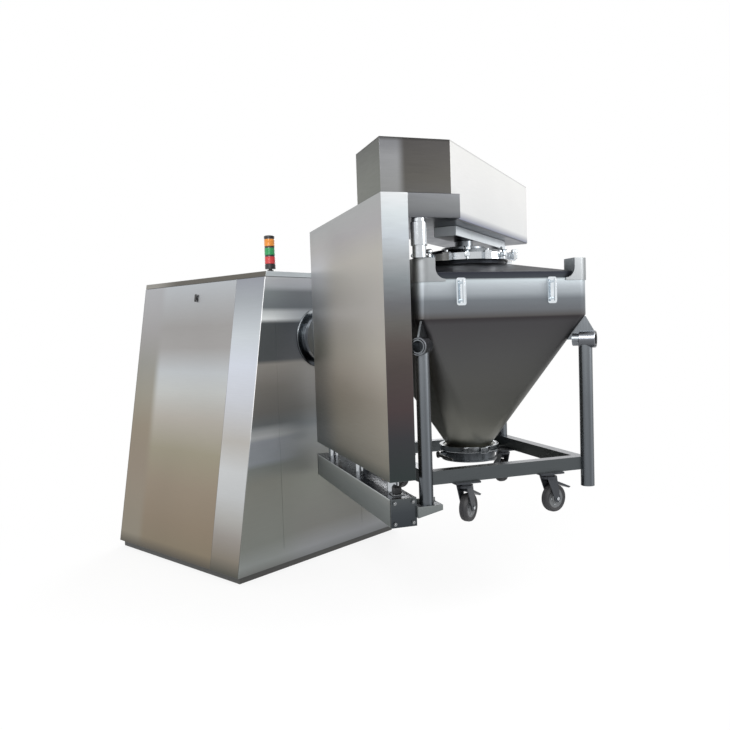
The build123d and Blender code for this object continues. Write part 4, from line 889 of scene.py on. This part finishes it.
def buildCarriageTrim():
    look = {"inset": 0.02, "screw": 0.0065, "screwHeight": 0.006, "stop": (0.045, 0.04, 0.04),
            "stopFrom": 0.06, "foot": 0.006, "smallScrew": 0.6}
    plateLow, plateHigh = boxIn(rotorPlace, "beam_end_plates")
    beamLow, beamHigh = boxIn(rotorPlace, "carriage_beam")
    screw = capScrew(look["screw"], look["screwHeight"])
    bm = bmesh.new()
    for along, axis in ((plateHigh.x, (1, 0, 0)), (plateLow.x, (-1, 0, 0))):
        for across in (plateLow.y + look["inset"], plateHigh.y - look["inset"]):
            for height in (plateLow.z + look["inset"], plateHigh.z - look["inset"]):
                addShape(bm, screw, standAt((along, across, height), axis))
    length, width, height = look["stop"]
    start = beamHigh.x - look["stopFrom"]
    middle = (beamLow.y + beamHigh.y) / 2
    top = beamHigh.z + look["foot"]  # of the plate under the stop
    rubber = block((start - length, middle - width / 2, top),
                   (start, middle + width / 2, beamHigh.z + height), 0.004)
    plate = block((start - length * 1.3, middle - width * 0.8, beamHigh.z),
                  (start + length * 0.3, middle + width * 0.8, top), 0.0015)
    addShape(bm, plate, rowPlace)
    addShape(bm, rubber, rowPlace, 1)
    for along in (start - length * 1.15, start + length * 0.15):
        for across in (-0.6, 0.6):
            addShape(bm, screw, Matrix.Translation((along, middle + across * width, top))
                     @ Matrix.Scale(look["smallScrew"], 4))
    screw.free()
    rubber.free()
    plate.free()
    finishPiece("carriageTrim", bm, bodyOf["carriage_beam"], ["screwSteel", "sealRubber"],
                rotorPlace)


buildCarriageTrim()
print("carriage trim built")


# casters: grooved tyres on bolted hubs, ball races and axle nuts

def buildWheel(corner):
    look = {"radius": 0.075, "half": 0.0225, "rim": 0.052, "hub": 0.02, "dish": 0.006,
            "groove": 0.0022, "bolts": 5, "boltRing": 0.034, "boltRadius": 0.0042,
            "boltHeight": 0.003}
    node, joint = corner + "_wheel", joints[corner + "_roll"]
    half, radius, rim, groove = look["half"], look["radius"], look["rim"], look["groove"]
    tyre = turnedShape([
        (rim, -half * 0.86), (radius * 0.86, -half), (radius * 0.955, -half * 0.86),
        (radius * 0.995, -half * 0.5), (radius, -half * 0.3), (radius - groove, -half * 0.22),
        (radius - groove, -half * 0.12), (radius, -half * 0.06), (radius, half * 0.06),
        (radius - groove, half * 0.12), (radius - groove, half * 0.22), (radius, half * 0.3),
        (radius * 0.995, half * 0.5), (radius * 0.955, half * 0.86), (radius * 0.86, half),
        (rim, half * 0.86)], 56)
    bm = bmesh.new()
    addShape(bm, tyre, rowPlace)
    tyre.free()
    dish, hub = look["dish"], look["hub"]
    disc = turnedShape([
        (0.0, -half), (hub, -half), (hub * 1.15, -half + 0.003), (hub * 1.3, -half + dish),
        (rim * 0.9, -half + dish), (rim + 0.001, -half * 0.8), (rim + 0.001, half * 0.8),
        (rim * 0.9, half - dish), (hub * 1.3, half - dish), (hub * 1.15, half - 0.003),
        (hub, half), (0.0, half)], 48)
    addShape(bm, disc, rowPlace, 1)
    disc.free()
    bolt = hexNut(look["boltRadius"], look["boltHeight"])
    for side in (-1, 1):
        for turn in range(look["bolts"]):
            angle = math.tau * turn / look["bolts"]
            spot = Vector((math.cos(angle), math.sin(angle), 0)) * look["boltRing"]
            spot.z = side * (half - dish)
            addShape(bm, bolt, standAt(spot, (0, 0, side)), 2)
    bolt.free()
    piece = finishPiece(camelName("wheel", corner.split("_")), bm, bodyOf[node],
                        ["tyreRubber", "wheelHub", "brightSteel"],
                        standAt(joint["pos_m"], joint["axis"]))
    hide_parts(node)


def buildForkTrim(corner):
    # ball race under the plate, and an axle nut on each side of the fork
    look = {"race": 0.031, "raceHeight": 0.012, "nut": 0.0105, "nutHeight": 0.006,
            "sunk": 0.001, "nearAxle": 0.02}
    fork, roll = corner + "_fork", joints[corner + "_roll"]
    swivel = Vector(joints[corner + "_swivel_turn"]["pos_m"])
    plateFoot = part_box("caster_plates")[0].z
    race, height = look["race"], look["raceHeight"]
    ring = turnedShape([
        (race * 0.5, 0.0), (race * 0.92, 0.0), (race, height * 0.2), (race, height * 0.42),
        (race * 0.9, height * 0.5), (race, height * 0.58), (race, height * 0.8),
        (race * 0.92, height), (race * 0.5, height)], 40)
    bm = bmesh.new()
    addShape(bm, ring, Matrix.Translation((swivel.x, swivel.y, plateFoot - height)))
    ring.free()
    nut = hexNut(look["nut"], look["nutHeight"])
    centre, axis = Vector(roll["pos_m"]), Vector(roll["axis"]).normalized()
    reach = max(abs((v.co - centre).dot(axis)) for v in nodes[fork].data.vertices
                if abs(v.co.z - centre.z) < look["nearAxle"])
    for side in (-1, 1):
        spot = centre + axis * side * (reach - look["sunk"])
        addShape(bm, nut, standAt(spot, axis * side), 1)
    nut.free()
    finishPiece(camelName("forkTrim", corner.split("_")), bm, bodyOf[fork],
                ["casterPaint", "brightSteel"])


for corner in corners:
    buildWheel(corner)
    buildForkTrim(corner)
    dressNode(corner + "_fork", "casterPaint", 0.0012)
    dressNode(corner + "_pedal", "casterPaint", 0.0012)
print("casters built")


# stage, light and camera

def addFloor():
    # pale floor that keeps a faint shadow near the machine and is plain white further off
    floor = {"size": 120.0, "below": 0.002, "tone": 0.95, "rough": 0.9, "glow": 0.82,
             "near": 1.6, "far": 3.2}
    bm = bmesh.new()
    bmesh.ops.create_grid(bm, x_segments=1, y_segments=1, size=floor["size"] / 2)
    mesh = bpy.data.meshes.new("studioFloor")
    bm.to_mesh(mesh)
    bm.free()
    mesh.transform(Matrix.Translation((0, 0, cadBox[0][2] - floor["below"])))
    piece = bpy.data.objects.new("studioFloor", mesh)
    bpy.context.scene.collection.objects.link(piece)
    material, tree, shader, coords = startMaterial("studioFloor")
    shader.inputs["Base Color"].default_value = (floor["tone"],) * 3 + (1,)
    shader.inputs["Roughness"].default_value = floor["rough"]
    shader.inputs["Specular IOR Level"].default_value = 0.0
    glow = tree.nodes.new("ShaderNodeEmission")
    middle = ((cadBox[0][0] + cadBox[1][0]) / 2, (cadBox[0][1] + cadBox[1][1]) / 2, 0)
    distance = vectorNode(tree, "DISTANCE", coords, middle).outputs["Value"]
    share = rangeNode(tree, distance, floor["near"], floor["far"], floor["glow"], 1.0, True)
    path = tree.nodes.new("ShaderNodeLightPath")
    seen = mathNode(tree, "MAXIMUM", path.outputs["Is Camera Ray"], path.outputs["Is Glossy Ray"])
    mix = tree.nodes.new("ShaderNodeMixShader")
    tree.links.new(mathNode(tree, "MULTIPLY", seen, share), mix.inputs[0])
    tree.links.new(shader.outputs["BSDF"], mix.inputs[1])
    tree.links.new(glow.outputs[0], mix.inputs[2])
    output = tree.get_output_node("ALL")
    tree.links.new(mix.outputs[0], output.inputs["Surface"])
    mesh.materials.append(material)


def addWorld():
    # white where it is seen or mirrored, a little dimmer as light on the machine
    light = 0.75
    world = bpy.data.worlds.new("paleStudio")
    bpy.context.scene.world = world
    world.use_nodes = True
    tree = world.node_tree
    tree.nodes.clear()
    output = tree.nodes.new("ShaderNodeOutputWorld")
    plain = tree.nodes.new("ShaderNodeBackground")
    plain.inputs["Color"].default_value = (1, 1, 1, 1)
    plain.inputs["Strength"].default_value = light
    white = tree.nodes.new("ShaderNodeBackground")
    white.inputs["Color"].default_value = (1, 1, 1, 1)
    path = tree.nodes.new("ShaderNodeLightPath")
    seen = mathNode(tree, "MAXIMUM", path.outputs["Is Camera Ray"], path.outputs["Is Glossy Ray"])
    seen = mathNode(tree, "MAXIMUM", seen, path.outputs["Is Transmission Ray"])
    mix = tree.nodes.new("ShaderNodeMixShader")
    tree.links.new(seen, mix.inputs[0])
    tree.links.new(plain.outputs[0], mix.inputs[1])
    tree.links.new(white.outputs[0], mix.inputs[2])
    tree.links.new(mix.outputs[0], output.inputs["Surface"])


def addLamp(name, spot, target, size, power):
    light = bpy.data.lights.new(name, "AREA")
    light.shape = "DISK"
    light.size = size
    light.energy = power
    lamp = bpy.data.objects.new(name, light)
    bpy.context.scene.collection.objects.link(lamp)
    lamp.location = spot
    lamp.rotation_euler = (Vector(target) - Vector(spot)).to_track_quat("-Z", "Y").to_euler()


def addCamera():
    view = {
        "place": (4.354, -3.536, 1.609), "right": (0.7429, 0.6686, -0.0334),
        "ahead": (-0.6693, 0.7411, -0.0521), "lens": 35.46, "sensor": 36.0,
    }
    data = bpy.data.cameras.new("photoCamera")
    data.lens = view["lens"]
    data.sensor_width = view["sensor"]
    data.clip_end = 100
    camera = bpy.data.objects.new("photoCamera", data)
    bpy.context.scene.collection.objects.link(camera)
    ahead = Vector(view["ahead"]).normalized()
    right = Vector(view["right"]).normalized()
    turn = Matrix((right, right.cross(ahead), -ahead)).transposed().to_4x4()
    camera.matrix_world = Matrix.Translation(view["place"]) @ turn
    bpy.context.scene.camera = camera


addFloor()
addWorld()
lamps = {
    "keyLamp": {"spot": (3.5, -5.5, 5.0), "target": (1.2, 0, 1.2), "size": 3.5, "power": 260},
    "fillLamp": {"spot": (6.5, 1.5, 3.5), "target": (1.6, 0, 1.3), "size": 3.0, "power": 120},
    "backLamp": {"spot": (-3.0, 4.5, 4.5), "target": (0.5, 0, 1.2), "size": 3.0, "power": 140},
}
for name, lamp in lamps.items():
    addLamp(name, **lamp)
addCamera()
bpy.context.scene.view_settings.view_transform = "Standard"
print("stage, lamps and camera set")
